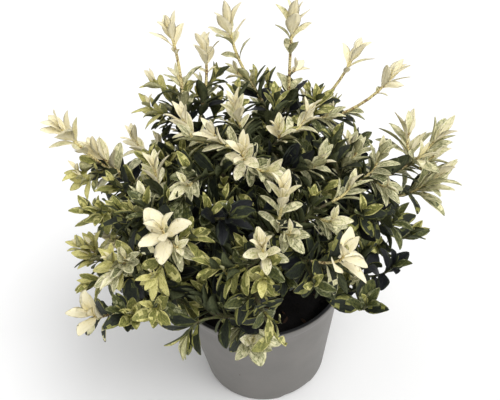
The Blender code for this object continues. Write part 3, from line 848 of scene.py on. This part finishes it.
def make_compost():
    """The compost's bumpy body, closed below, from the wall to under the trunk."""
    inner_foot = FOOT_RADIUS - WALL
    slope = (NECK_RADIUS - FOOT_RADIUS) / (POT_HEIGHT - COLLAR_HEIGHT)
    edge = inner_foot + slope * (COMPOST_TOP - FLOOR_THICKNESS) - COMPOST_GAP
    profile = [(0, COMPOST_LOW), (inner_foot - COMPOST_GAP, COMPOST_LOW)]
    profile += [(edge * (1 - i / COMPOST_RINGS), COMPOST_TOP) for i in range(COMPOST_RINGS)]
    profile.append((0, COMPOST_TOP))

    def shift(radius, height, angle):
        x = radius * math.cos(angle)
        y = radius * math.sin(angle)
        return x, y, height if height < COMPOST_TOP else compost_height(x, y)

    mesh = turned("compost_bed", profile, COMPOST_SEGMENTS, shift)
    mesh.shade_smooth()
    return new_piece("compost_bed", mesh, ("compost",))


def socket(tree, name, kind, value=None, way="INPUT"):
    made = tree.interface.new_socket(name=name, in_out=way, socket_type=kind)
    if value is not None:
        made.default_value = value
    return made


def crumb_tree(name):
    """Small rough lumps strewn over the faces of a surface that look up."""
    tree = bpy.data.node_groups.new(name, "GeometryNodeTree")
    socket(tree, "Ground", "NodeSocketGeometry")
    socket(tree, "Density", "NodeSocketFloat", 1000.0)
    socket(tree, "Size", "NodeSocketFloat", 0.001)
    socket(tree, "Flatness", "NodeSocketFloat", 0.6)
    socket(tree, "Seed", "NodeSocketInt", 1)
    socket(tree, "Finish", "NodeSocketMaterial")
    socket(tree, "Lumps", "NodeSocketGeometry", way="OUTPUT")

    def add(kind, inputs=(), **settings):
        made = tree.nodes.new(kind)
        for key, value in settings.items():
            setattr(made, key, value)
        for key, value in dict(inputs).items():
            if hasattr(value, "is_output"):
                tree.links.new(value, made.inputs[key])
            else:
                made.inputs[key].default_value = value
        return made.outputs

    given = add("NodeGroupInput")
    normal = add("GeometryNodeInputNormal")[0]
    up = add("ShaderNodeSeparateXYZ", {"Vector": normal})["Z"]
    top = add("FunctionNodeCompare", {0: up, 1: LOOKS_UP}, operation="GREATER_THAN")[0]
    spread = add("GeometryNodeDistributePointsOnFaces", {
        "Mesh": given["Ground"], "Density": given["Density"], "Seed": given["Seed"], "Selection": top})
    lump = add("GeometryNodeMeshIcoSphere", {"Radius": 1.0, "Subdivisions": 1})
    turn = add("FunctionNodeRandomValue", {
        "Seed": given["Seed"], 1: (FULL_TURN, FULL_TURN, FULL_TURN)}, data_type="FLOAT_VECTOR")
    spin = add("FunctionNodeEulerToRotation", {"Euler": turn[0]})
    size = add("FunctionNodeRandomValue", {
        "Seed": given["Seed"], 2: LUMP_SIZES[0], 3: LUMP_SIZES[1]}, data_type="FLOAT")
    grown = add("ShaderNodeMath", {0: size[1], 1: given["Size"]}, operation="MULTIPLY")[0]
    flat = add("ShaderNodeMath", {0: grown, 1: given["Flatness"]}, operation="MULTIPLY")[0]
    shape = add("ShaderNodeCombineXYZ", {"X": grown, "Y": flat, "Z": flat})
    strewn = add("GeometryNodeInstanceOnPoints", {
        "Points": spread["Points"], "Instance": lump["Mesh"], "Rotation": spin[0], "Scale": shape[0]})
    solid = add("GeometryNodeRealizeInstances", {"Geometry": strewn[0]})
    rough = add("ShaderNodeTexNoise", {"Scale": LUMP_ROUGHNESS})
    centred = add("ShaderNodeVectorMath", {0: rough["Color"], 1: (0.5, 0.5, 0.5)}, operation="SUBTRACT")
    pushed = add("ShaderNodeVectorMath", {0: centred[0], "Scale": given["Size"]}, operation="SCALE")
    dented = add("GeometryNodeSetPosition", {"Geometry": solid[0], "Offset": pushed[0]})
    coated = add("GeometryNodeSetMaterial", {"Geometry": dented[0], "Material": given["Finish"]})
    add("NodeGroupOutput", {"Lumps": coated[0]})
    return tree


def strew(name, ground, tree, finish, sizes):
    """A piece of lumps strewn over the ground by the tree, as one plain mesh."""
    piece = new_piece(name, ground.data.copy(), ())
    grow = piece.modifiers.new("Lumps", "NODES")
    grow.node_group = tree
    inputs = {item.name: item.identifier for item in tree.interface.items_tree if item.in_out == "INPUT"}
    for key, value in sizes.items():
        grow[inputs[key]] = value
    grow[inputs["Finish"]] = FINISH[finish]
    return applied(piece)


def mass_layout():
    """Every mass's name, azimuth and elevation."""
    layout = []
    for ring, count, elevation, first in RINGS:
        for i in range(count):
            layout.append((f"{ring}_{i + 1}", first + 360 / count * i, elevation))
    return layout


def arm_tip(azimuth):
    return polar(azimuth, 0, ARM_SPREAD) + Vector((0, 0, ARM_TIP_HEIGHT))


def nearest_arm(azimuth):
    return min(ARM_AZIMUTHS, key=lambda arm: abs((azimuth - arm + 180) % 360 - 180))


def bough_path(azimuth, elevation):
    """A bough's curve from the nearest arm to where its mass starts."""
    start = arm_tip(nearest_arm(azimuth))
    out = polar(azimuth, elevation)
    end = CROWN_MIDDLE + out * MASS_START
    span = (end - start).length
    rise = ((end - start).normalized() + Vector((0, 0, BOUGH_RISE))).normalized()
    return curve(start, start + rise * span * BOUGH_PULL, end - out * span * BOUGH_PULL, end, LIMB_STEPS)


def make_limbs():
    """Trunk, arms and boughs grown together, with the relief of their bark."""
    limbs = Builder()
    up = Vector((0, 0, 1))
    foot = up * TRUNK_FOOT
    bottom = foot + up * LIMB_OVERLAP
    head = foot + Vector((-TRUNK_LEAN, 0, TRUNK_HEIGHT))
    path = [foot]
    path += curve(bottom, bottom + up * TRUNK_FOOT_PULL, head - up * TRUNK_HEAD_PULL, head, LIMB_STEPS)
    rings = len(path) - 1
    width = TRUNK_FOOT_RADIUS - TRUNK_TOP_RADIUS
    radii = [TRUNK_TOP_RADIUS + width * (1 - i / rings) ** 2.5 for i in range(rings + 1)]

    def roots(ring, angle):
        return ROOT_FLARE * math.cos(ROOT_RIDGES * angle) * (1 - ring / rings) ** 2

    limbs.tube(path, radii, TRUNK_SIDES, flare=roots)
    for azimuth in ARM_AZIMUTHS:
        tip = arm_tip(azimuth)
        start = head - up * (ARM_FOOT_RADIUS * 1.4)
        arm = curve(start, start + up * ARM_FOOT_PULL, tip - up * ARM_TIP_PULL, tip, LIMB_STEPS)
        arm.append(tip + (tip - arm[-2]).normalized() * LIMB_OVERLAP)
        widths = np.linspace(ARM_FOOT_RADIUS, ARM_TIP_RADIUS, len(arm))
        limbs.tube(arm, widths, LIMB_SIDES)
    for _, azimuth, elevation in mass_layout():
        bough = bough_path(azimuth, elevation)
        limbs.tube(bough, np.linspace(BOUGH_FOOT_RADIUS, BOUGH_TIP_RADIUS, len(bough)), LIMB_SIDES)
    piece = new_piece("limbs", limbs.mesh("limbs"), ("old_bark",))
    join = piece.modifiers.new("Grow together", "REMESH")
    join.mode = "VOXEL"
    join.voxel_size = BARK_GRAIN
    applied(piece)
    mesh = piece.data
    carved = []
    for vertex, normal in zip(mesh.vertices, [v.normal.copy() for v in mesh.vertices]):
        place = vertex.co
        ridges = noise.noise(place * BARK_RIDGES)
        pits = noise.noise(place * BARK_PITS)
        moved = place + normal * BARK_RELIEF * (ridges + 0.5 * pits)
        carved += [moved.x, moved.y, max(moved.z, TRUNK_FOOT)]
    mesh.vertices.foreach_set("co", carved)
    mesh.update()
    mesh.shade_smooth()
    return piece


def apart(azimuth_a, elevation_a, azimuth_b, elevation_b):
    return math.degrees(polar(azimuth_a, elevation_a).angle(polar(azimuth_b, elevation_b)))


def in_opening(azimuth, elevation):
    return any(
        abs((azimuth - middle + 180) % 360 - 180) < half and elevation < highest
        for middle, half, highest in OPENINGS
    )


def dome_reach(azimuth, elevation):
    """How far the leafy dome reaches from the crown's middle in this direction."""
    e = math.radians(elevation)
    reach = 1 / math.hypot(math.cos(e) / CROWN_REACH, math.sin(e) / CROWN_RISE)
    back = (1 + math.cos(math.radians(azimuth - FULL_AZIMUTH))) / 2
    return reach * (1 + FULLNESS * back * max(math.sin(e), 0))


def is_spire(azimuth, elevation, reach):
    return reach > dome_reach(azimuth, elevation) + SPIRE_PROUD


def spiral(count, spacing, share, taken, chance):
    """Shoots on the dome in a golden spiral, at least this many degrees apart."""
    tips = []
    low = math.sin(math.radians(CROWN_LOWEST))
    for i in range(count):
        elevation = math.degrees(math.asin(low + (1 - low) * (i + 0.5) / count))
        azimuth = (i * GOLDEN_ANGLE + chance.uniform(-AZIMUTH_SPREAD, AZIMUTH_SPREAD)) % 360
        reach = dome_reach(azimuth, elevation) * chance.uniform(*REACHES) * share
        crowded = any(apart(azimuth, elevation, a, e) < spacing for a, e in taken)
        if not crowded and not in_opening(azimuth, elevation):
            tips.append((azimuth, elevation, reach))
            # the solids' ruled shoots keep clear of named ones only, and finer ones of each other too
            if spacing < SHOOT_SPACING:
                taken.append((azimuth, elevation))
    return tips


def counted(words):
    """Names and how many of each, from words such as "6 cream, ivory"."""
    pairs = []
    for part in words.split(", "):
        *count, name = part.split()
        pairs.append((name, int(count[0]) if count else 1))
    return pairs


def habit_at(azimuth, elevation, fine, chance):
    """A habit for a shoot, from the shares of the nearest zone."""
    turn, rise = ZONE_BLUR
    azimuth += chance.uniform(-turn, turn)
    elevation += chance.uniform(-rise, rise)
    zone = min(ZONES, key=lambda zone: apart(azimuth, elevation, *zone[:2]))
    habits, shares = zip(*counted(zone[3 if fine else 2]))
    return chance.choices(habits, shares)[0]


def shoot_tips():
    """The named shoots and the ruled ones of the solids, then finer ones between them."""
    chance = random.Random(SEED)
    taken = [(a, e) for a, e, reach, _ in BRIGHT_SHOOTS if not is_spire(a, e, reach)]
    ruled = spiral(RULED_SHOOTS, SHOOT_SPACING, 1.0, taken, chance)
    coarse = list(BRIGHT_SHOOTS)
    for tip in ruled:
        chosen = [habit for a, e, habit in RULED_HABITS if apart(*tip[:2], a, e) < HABIT_RANGE]
        coarse.append((*tip, chosen[0] if chosen else habit_at(*tip[:2], False, chance)))
    taken += [(a, e) for a, e, _ in ruled]
    taken += [(a, e) for a, e, *_ in SECOND_SHOOTS]
    fine = spiral(FINE_SHOOTS, FINE_SPACING, FINE_SHARE, taken, chance)
    return coarse, list(SECOND_SHOOTS) + [(*tip, habit_at(*tip[:2], True, chance)) for tip in fine]


def shoot_rise(azimuth, elevation, habit):
    """Where a shoot points at its tip."""
    share = max(0, min(1, (elevation - CROWN_LOWEST) / (UPRIGHT_ELEVATION - CROWN_LOWEST)))
    turn = TURNS.get(habit, LOW_RISE + (UPRIGHT_RISE - LOW_RISE) * share ** 3)
    return (polar(azimuth, elevation) + Vector((0, 0, turn))).normalized()


def shoot_path(start, tip, out, rise):
    """A shoot's curve: it leaves the start in one direction and ends at the tip in the other."""
    span = (tip - start).length
    return curve(start, start + out * span * OUT_PULL, tip - rise * span * TIP_PULL, tip, SHOOT_STEPS)


def blade(t, u, length, width, fold, bend, twist, wave, phase, age):
    """Points of leaf blades in their own frame: along, across and up.

    t runs from root to tip, and u from edge to edge. The sizes are columns, one row for each leaf.
    """
    angle = bend * t
    along = length * t * np.sinc(angle / np.pi)
    lift = -length * t * np.sin(angle / 2) * np.sinc(angle / (2 * np.pi))
    young = np.interp(t, STATIONS, YOUNG_OUTLINE)
    half = width / 2 * (young + (np.interp(t, STATIONS, OLD_OUTLINE) - young) * age)
    across = half * u * np.cos(fold)
    rise = half * np.abs(u) * np.sin(fold) + wave * half * np.sin(phase + WAVE_TURN * t) * u * u
    turn = twist * t
    side = across * np.cos(turn) - rise * np.sin(turn)
    up = across * np.sin(turn) + rise * np.cos(turn)
    return along + up * np.sin(angle), side, lift + up * np.cos(angle)


def in_pot(points):
    """Whether any of a leaf's points is in the pot's wall or in the compost."""
    away = np.hypot(points[:, 0], points[:, 1])
    z = points[:, 2]
    margin = LEAF_CLEARANCE * 2
    below_neck = np.maximum(POT_HEIGHT - COLLAR_HEIGHT - z, 0)
    wall = NECK_RADIUS - below_neck * (NECK_RADIUS - FOOT_RADIUS) / (POT_HEIGHT - COLLAR_HEIGHT)
    outside = np.where(below_neck > 0, wall, RIM_RADIUS)
    hits = (z < POT_HEIGHT + margin) & (away < outside + margin) & (away > wall - 3 * WALL)
    hits |= (away < wall) & (z < COMPOST_TOP + COMPOST_BUMP + GROUND_CLEARANCE)
    return hits.any()


class Room:
    """What leaves must not cross: pot, compost, limbs and twigs, and each other."""

    def __init__(self, low, high, points, faces):
        self.low = np.array(low)
        self.high = np.array(high)
        self.wood = BVHTree.FromPolygons([tuple(p) for p in points], faces)
        self.trees = []
        # centre and radius of a sphere round each leaf, with rows to spare
        self.spheres = np.zeros((SPHERE_ROWS, 4))

    def keep(self, leaf, centre, radius):
        if len(self.trees) == len(self.spheres):
            self.spheres = np.vstack([self.spheres, np.zeros(self.spheres.shape)])
        self.spheres[len(self.trees)] = (*centre, radius)
        self.trees.append(leaf)

    def take(self, points):
        """Keeps the leaf and returns True if it has room."""
        if (points < self.low).any() or (points > self.high).any() or in_pot(points):
            return False
        leaf = BVHTree.FromPolygons(points.tolist(), PROXY_FACES)
        if leaf.overlap(self.wood):
            return False
        centre = (points.min(0) + points.max(0)) / 2
        radius = math.sqrt(((points - centre) ** 2).sum(1).max())
        near = self.spheres[: len(self.trees)]
        gaps = ((near[:, :3] - centre) ** 2).sum(1) - (near[:, 3] + radius) ** 2
        if any(leaf.overlap(self.trees[k]) for k in np.nonzero(gaps < 0)[0]):
            return False
        self.keep(leaf, centre, radius)
        return True


# a coarse stand-in of a leaf, used only to test its room
PROXY_T = np.repeat(np.array([0.28, 0.5, 0.75, 1.0]), 3)
PROXY_U = np.tile(np.array([1.0, 0.0, -1.0]), 4)
PROXY_FACES = [[3 * i + k, 3 * i + k + 1, 3 * i + k + 4, 3 * i + k + 3] for i in range(3) for k in range(2)]


def too_low(place):
    """Whether a leaf's tip here would hang below the crown's lower edge."""
    x, y, z = place - np.array(CROWN_MIDDLE)
    away = math.hypot(x, y)
    lowest = np.interp(math.degrees(math.atan2(y, x)), EDGE_AZIMUTHS, EDGE_ELEVATIONS)
    lowest -= INNER_SLACK * max(0, OUTER_REACH - math.hypot(away, z))
    return math.degrees(math.atan2(z, away)) < lowest


def leaf_shape(age, chance):
    """A leaf's fold, bend, twist, waves and where they start, and its age."""
    return (
        chance.uniform(*FOLDS) * (YOUNG_FOLD - (YOUNG_FOLD - OLD_FOLD) * age),
        chance.uniform(*BENDS) + OLD_BEND * age,
        chance.uniform(*TWISTS),
        chance.uniform(*WAVES),
        chance.uniform(0, FULL_TURN),
        age,
    )


def leaf_ways(up, side, around, opening, droop):
    """The ways that a leaf may point. Its place is this far around its shoot from the side."""
    across = up.cross(side)
    ways = []
    for extra, share, _ in LEAF_WAYS:
        a = math.radians(opening * share)
        r = around + math.radians(extra)
        way = up * math.cos(a) + (side * math.cos(r) + across * math.sin(r)) * math.sin(a)
        ways.append(tuple(way - Vector((0, 0, droop))))
    return np.array(ways)


def leaf_frames(ways, up, lean):
    """For each way that a leaf may point: its along, side and face directions."""
    along = ways / np.linalg.norm(ways, axis=1, keepdims=True)
    face = up + np.array([0, 0, lean])
    face = face - along * (along @ face)[:, None]
    face /= np.linalg.norm(face, axis=1, keepdims=True)
    return along, np.cross(face, along), face


def grow_leaves(path, habit, pairs, chance, room, leaves):
    """Opposite pairs of leaves down a shoot from its tip, each where it has room."""
    opening_share, width_share, length_share, words = HABITS[habit]
    looks = [look for look, count in counted(words) for _ in range(count)]
    names = list(LOOKS)
    turn = chance.uniform(0, 180)
    scales = np.array([share for _, _, share in LEAF_WAYS])[:, None]
    for i, (down, opening, length) in enumerate(pairs):
        above, below = cut_at(path[::-1], max(down, TIP_INSET))
        if len(below) < 2:
            return
        up = (above[-2] - above[-1]).normalized()
        side = Matrix.Rotation(math.radians(turn), 3, up) @ up.orthogonal().normalized()
        root = above[-1]
        age = min(i / OLD_PAIR, 1.0)
        for around in (0, math.pi):
            stage = max(0, min(len(looks) - 1, i + chance.choice(LOOK_STEPS)))
            size = length * length_share * chance.uniform(*SIZES)
            base = min(opening * opening_share * chance.uniform(*OPENING_SPREAD), WIDEST_OPENING)
            width = LEAF_WIDTH_SHARE * width_share * chance.uniform(*WIDTHS)
            width *= YOUNG_WIDTH + (1 - YOUNG_WIDTH) * age
            shape = leaf_shape(age, chance)
            ways = leaf_ways(up, side, around, base, DROOP * age * chance.uniform(*DROOPS))
            along, lateral, face = leaf_frames(ways, np.array(up), YOUNG_LEAN + OLD_LEAN * age)
            x, y, z = blade(PROXY_T, PROXY_U, scales * size, scales * size * width, *shape)
            spots = np.array(root) + (
                x[..., None] * along[:, None] + y[..., None] * lateral[:, None]
                + z[..., None] * face[:, None])
            for k in range(len(LEAF_WAYS)):
                if (habit in LOOSE or not too_low(spots[k][-2])) and room.take(spots[k]):
                    grown = size * scales[k, 0]
                    leaves.append((
                        *root, *along[k], *lateral[k], *face[k], grown, grown * width, *shape,
                        names.index(looks[stage]), chance.uniform(*MIDDLE_SHARES)))
                    break
        turn += 90 + chance.uniform(-TURN_SPREAD, TURN_SPREAD)


def leaf_faces():
    """Faces of one leaf, and where each lies: edge, middle or underside."""
    faces = []
    where = []
    row = len(ROWS)
    last = len(STATIONS) - 2
    tip = (last + 1) * row
    for i in range(last + 1):
        for k in range(4):
            a, b = row * i + k, row * i + k + 1
            faces.append([a, b, b + row, a + row] if i < last else [a, b, tip])
            where.append(0 if k in (0, 3) else 1)
        for a, b in ((0, 5), (5, 4)):
            a, b = row * i + a, row * i + b
            faces.append([a, a + row, b + row, b] if i < last else [a, tip, b])
            where.append(2)
    faces.append([0, 5, 4, 3, 2, 1])
    where.append(1)
    return faces, np.array(where)


def leaf_points(columns, chance):
    """Every leaf's points, and each one's place from root to tip and from edge to edge."""
    root, along, side, face, length, width, *shape, _, middle = columns
    count = len(root)
    row = len(ROWS)
    t = np.repeat(STATIONS[:-1], row)[None].repeat(count, 0)
    u = np.tile(ROWS, len(STATIONS) - 1)[None].repeat(count, 0)
    for column in (1, 3):
        wobble = chance.uniform(-MIDDLE_WOBBLE, MIDDLE_WOBBLE, (count, len(STATIONS) - 1))
        u[:, column::row] = np.sign(u[:, column::row]) * np.clip(middle + wobble, *MIDDLE_LIMITS)
    t = np.hstack([t, np.ones((count, 1))])
    u = np.hstack([u, np.zeros((count, 1))])
    x, y, z = blade(t, u, length, width, *shape)
    at_root = np.clip(1 - STATIONS[:-1] / PETIOLE_SHARE, 0, 1)
    thickness = LEAF_THICKNESS + (PETIOLE_THICKNESS - LEAF_THICKNESS) * at_root
    z[:, row - 1:-1:row] -= thickness[None]
    points = root[:, None] + x[..., None] * along[:, None] + y[..., None] * side[:, None]
    return points + z[..., None] * face[:, None], t, u


def leaf_finishes(looks, where, chance):
    """The finishes of all leaves, and which of them each face has. Some faces break the pattern."""
    finishes = list(dict.fromkeys(f for look in LOOKS.values() for f in look[:3]))
    table = np.array([[finishes.index(f) for f in look[:3]] for look in LOOKS.values()])
    splash = np.array([look[3] for look in LOOKS.values()])[looks][:, None]
    zone = where[None].repeat(len(looks), 0)
    broken = chance.random(zone.shape) < splash
    zone = np.where(broken & (zone < 2), 1 - zone, zone)
    return finishes, table[looks[:, None], zone].ravel()


def leaf_mesh(name, leaves):
    """All leaves of a mass as one mesh: blades with an edge, a middle and an underside."""
    chance = np.random.default_rng(SEED + len(leaves))
    columns = np.split(np.array(leaves, float), LEAF_COLUMNS, axis=1)
    points, t, u = leaf_points(columns, chance)
    count, per_leaf, _ = points.shape
    faces, where = leaf_faces()
    finishes, slots = leaf_finishes(columns[-2][:, 0].astype(int), where, chance)
    corner = np.concatenate(faces)
    corners = (corner[None] + per_leaf * np.arange(count)[:, None]).ravel()
    totals = np.tile([len(face) for face in faces], count)
    starts = np.concatenate([[0], np.cumsum(totals)[:-1]])
    mesh = bpy.data.meshes.new(name)
    mesh.vertices.add(count * per_leaf)
    mesh.vertices.foreach_set("co", points.astype(np.float32).ravel())
    mesh.loops.add(len(corners))
    mesh.loops.foreach_set("vertex_index", corners.astype(np.int32))
    mesh.polygons.add(len(totals))
    mesh.polygons.foreach_set("loop_start", starts.astype(np.int32))
    mesh.polygons.foreach_set("loop_total", totals.astype(np.int32))
    mesh.polygons.foreach_set("material_index", slots.astype(np.int32))
    blade_map = mesh.uv_layers.new(name="blade")
    uv = np.stack([(u / 2 + 0.5), t], -1)[0, corner]
    blade_map.data.foreach_set("uv", np.tile(uv, (count, 1)).astype(np.float32).ravel())
    mesh.update(calc_edges=True)
    mesh.validate()
    mesh.shade_smooth()
    return mesh, finishes


def pairs_of(azimuth, elevation, reach, habit):
    """A shoot's pairs of leaves. A spire is bare between its tuft and the dome."""
    if habit in SHORT:
        return PAIRS[:SHORT_PAIRS]
    if is_spire(azimuth, elevation, reach):
        bare = reach - dome_reach(azimuth, elevation) - BARE_END
        on_stem = LEAFY_STEM_PAIRS if habit in LEAFY else BARE_STEM_PAIRS
        lower = tuple((bare + down, opening, length) for down, opening, length in PAIRS[2:])
        return PAIRS[:TUFT_PAIRS] + on_stem + lower
    if habit not in SLENDER:
        return PAIRS
    shorter = [1 - SLENDER_TAPER * min(i / OLD_PAIR, 1) for i in range(len(PAIRS))]
    return [(down, opening, length * share) for (down, opening, length), share in zip(PAIRS, shorter)]


def tip_place(azimuth, elevation, reach, habit):
    """Where a shoot ends. Its last leaves reach on."""
    if habit in OUTWARD:
        return CROWN_MIDDLE + polar(azimuth, elevation, reach - OUTWARD_LEAF_REACH)
    beyond = shoot_rise(azimuth, elevation, habit) * TIP_LEAF_REACH
    return CROWN_MIDDLE + polar(azimuth, elevation, reach) - beyond


def nearest_start(tip, shoots):
    """Where a finer shoot leaves the others with the least way and bend: point, direction and mass."""
    best = None
    for k, path, habit, _ in shoots:
        for i in range(FOOT_POINTS, len(path) - TIP_POINTS) if habit else ():
            way = tip - path[i]
            along = (path[i + 1] - path[i]).normalized()
            cost = way.length * (BEND_WEIGHT - along.dot(way.normalized()))
            if best is None or cost < best[0]:
                best = (cost, path[i], along, k)
    return best[1:]


def grow_crown(layout):
    """Every mass's stem and shoots, then finer shoots from those.

    Each is its mass's number, its path, its habit and its pairs of leaves. A stem has no habit.
    """
    coarse, fine = shoot_tips()
    seeds = [polar(azimuth, elevation) for _, azimuth, elevation in layout]
    groups = [[] for _ in layout]
    for tip in coarse:
        azimuth, elevation, _, habit = tip
        way = polar(azimuth, elevation - (TORCH_DROP if habit == "torch" else 0))
        groups[max(range(len(seeds)), key=lambda k: way.dot(seeds[k]))].append(tip)
    shoots = []
    for k, out in enumerate(seeds):
        foot = CROWN_MIDDLE + out * (MASS_START - STEM_OVERLAP)
        fork = CROWN_MIDDLE + out * MASS_FORK
        shoots.append((k, [foot.lerp(fork, i / STEM_STEPS) for i in range(STEM_STEPS + 1)], None, ()))
        for i, tip in enumerate(groups[k]):
            azimuth, elevation, _, habit = tip
            start = foot.lerp(fork, FIRST_SHOOT + SHOOT_RANGE * i / len(groups[k]))
            path = shoot_path(start, tip_place(*tip), out, shoot_rise(azimuth, elevation, habit))
            shoots.append((k, path, habit, pairs_of(*tip)))
    coarse_shoots = list(shoots)
    for tip in fine:
        azimuth, elevation, _, habit = tip
        end = tip_place(*tip)
        start, along, k = nearest_start(end, coarse_shoots)
        path = shoot_path(start, end, along, shoot_rise(azimuth, elevation, habit))
        shoots.append((k, path, habit, pairs_of(*tip)))
    return shoots


def stem_finish(habit):
    if habit in ("lemon", "lime"):
        return "stem_lime"
    return "stem_green" if habit in (None, "green", "dark", "hanging") else "stem_cream"


def grow_twigs(shoots, masses):
    """Every mass's stem and twigs: green at the foot, and further out as their habit has them."""
    twigs = [Builder() for _ in range(masses)]
    for k, path, habit, _ in shoots:
        foot, tip = (SHOOT_RADIUS, SHOOT_TIP_RADIUS) if habit else (BOUGH_TIP_RADIUS, STEM_TIP_RADIUS)
        if habit in STOUT:
            tip = STOUT_TIP_RADIUS
        widths = np.linspace(foot, tip, len(path))
        half = len(path) // 2
        twigs[k].tube(path[: half + 1], widths[: half + 1], TWIG_SIDES, STEM_FINISHES.index("stem_green"))
        twigs[k].tube(path[half:], widths[half:], TWIG_SIDES, STEM_FINISHES.index(stem_finish(habit)))
    return twigs


def leaf_room(boughs, twigs):
    """The room that the boughs and twigs leave in the box of the solids, and a little beyond it."""
    wood = Builder()
    for path in boughs:
        wood.tube(path, [BOUGH_FOOT_RADIUS] * len(path), TWIG_SIDES)
    for builder in twigs:
        first = len(wood.points)
        wood.points += builder.points
        wood.faces += [[first + k for k in face] for face in builder.faces]
    spare = Vector((LEAF_SPARE, LEAF_SPARE, LEAF_SPARE))
    return Room(CAD_LOW - spare, CAD_HIGH + spare, wood.points, wood.faces)


def make_foliage():
    """Leaves and twigs of every mass, one piece of each."""
    layout = mass_layout()
    shoots = grow_crown(layout)
    twigs = grow_twigs(shoots, len(layout))
    room = leaf_room([bough_path(azimuth, elevation) for _, azimuth, elevation in layout], twigs)
    chance = random.Random(SEED)
    leaves = [[] for _ in layout]
    order = list(HABITS)
    leafy = [shoot for shoot in shoots if shoot[2]]
    for k, path, habit, pairs in sorted(leafy, key=lambda shoot: order.index(shoot[2])):
        grow_leaves(path, habit, pairs, chance, room, leaves[k])
    for k, (name, _, _) in enumerate(layout):
        mesh, names = leaf_mesh(f"leaves_{name}", leaves[k])
        blades = new_piece(f"leaves_{name}", mesh, names)
        stems = new_piece(f"twigs_{name}", twigs[k].mesh(f"twigs_{name}"), STEM_FINISHES)
        carry(blades, (f"mass_{name}",))
        carry(stems, (f"mass_{name}",))


def make_stage():
    """A pale floor, a soft key light from the upper right, and soft white surroundings."""
    bm = bmesh.new()
    bmesh.ops.create_grid(bm, x_segments=2, y_segments=2, size=FLOOR_SIZE / 2)
    bmesh.ops.translate(bm, vec=(0, 0, POT_LOW.z - FLOOR_DROP), verts=bm.verts)
    mesh = bpy.data.meshes.new("pale_floor")
    bm.to_mesh(mesh)
    bm.free()
    floor = new_piece("pale_floor", mesh, ("pale_floor",))
    lamp = bpy.data.lights.new("key", "SUN")
    lamp.energy = KEY_STRENGTH
    lamp.angle = math.radians(KEY_SOFTNESS)
    key = bpy.data.objects.new("key", lamp)
    bpy.context.scene.collection.objects.link(key)
    key.location = CROWN_MIDDLE + polar(KEY_AZIMUTH, KEY_ELEVATION, 2)
    key.rotation_mode = "QUATERNION"
    key.rotation_quaternion = (CROWN_MIDDLE - key.location).to_track_quat("-Z", "Y")
    world = bpy.data.worlds.new("soft_white")
    world.use_nodes = True
    sky = world.node_tree.nodes["Background"]
    sky.inputs["Color"].default_value = (1, 1, 1, 1)
    sky.inputs["Strength"].default_value = SKY_STRENGTH
    bpy.context.scene.world = world
    bpy.context.scene.view_settings.view_transform = "Standard"


def make_camera():
    """The photograph's view, rolled a little clockwise."""
    tilt = math.radians(CAMERA_ELEVATION)
    roll = math.radians(CAMERA_ROLL)
    back = Vector((0, -math.cos(tilt), math.sin(tilt)))
    level = Vector((1, 0, 0))
    upright = Vector((0, math.sin(tilt), math.cos(tilt)))
    right = level * math.cos(roll) + upright * math.sin(roll)
    up = upright * math.cos(roll) - level * math.sin(roll)
    lens = bpy.data.cameras.new("camera")
    lens.lens = CAMERA_LENS
    lens.sensor_width = SENSOR_WIDTH
    camera = bpy.data.objects.new("camera", lens)
    bpy.context.scene.collection.objects.link(camera)
    place = Matrix((right, up, back)).transposed().to_4x4()
    place.translation = CAMERA_PLACE
    camera.matrix_world = place
    bpy.context.scene.camera = camera


FINISH = make_materials()
make_camera()
make_stage()
carry(make_pot(), ("pot",))
bed = carry(make_compost(), ("compost",))
lumps = crumb_tree("strewn_lumps")
crumb_sizes = {"Density": CRUMB_DENSITY, "Size": CRUMB_SIZE, "Flatness": 0.7, "Seed": 3}
chip_sizes = {"Density": CHIP_DENSITY, "Size": CHIP_SIZE, "Flatness": 0.35, "Seed": 5}
carry(strew("compost_crumbs", bed, lumps, "compost", crumb_sizes), ())
carry(strew("bark_chips", bed, lumps, "bark_chip", chip_sizes), ())
boughs = [f"bough_{name}" for name, _, _ in mass_layout()]
carry(make_limbs(), ("trunk", *boughs))
make_foliage()
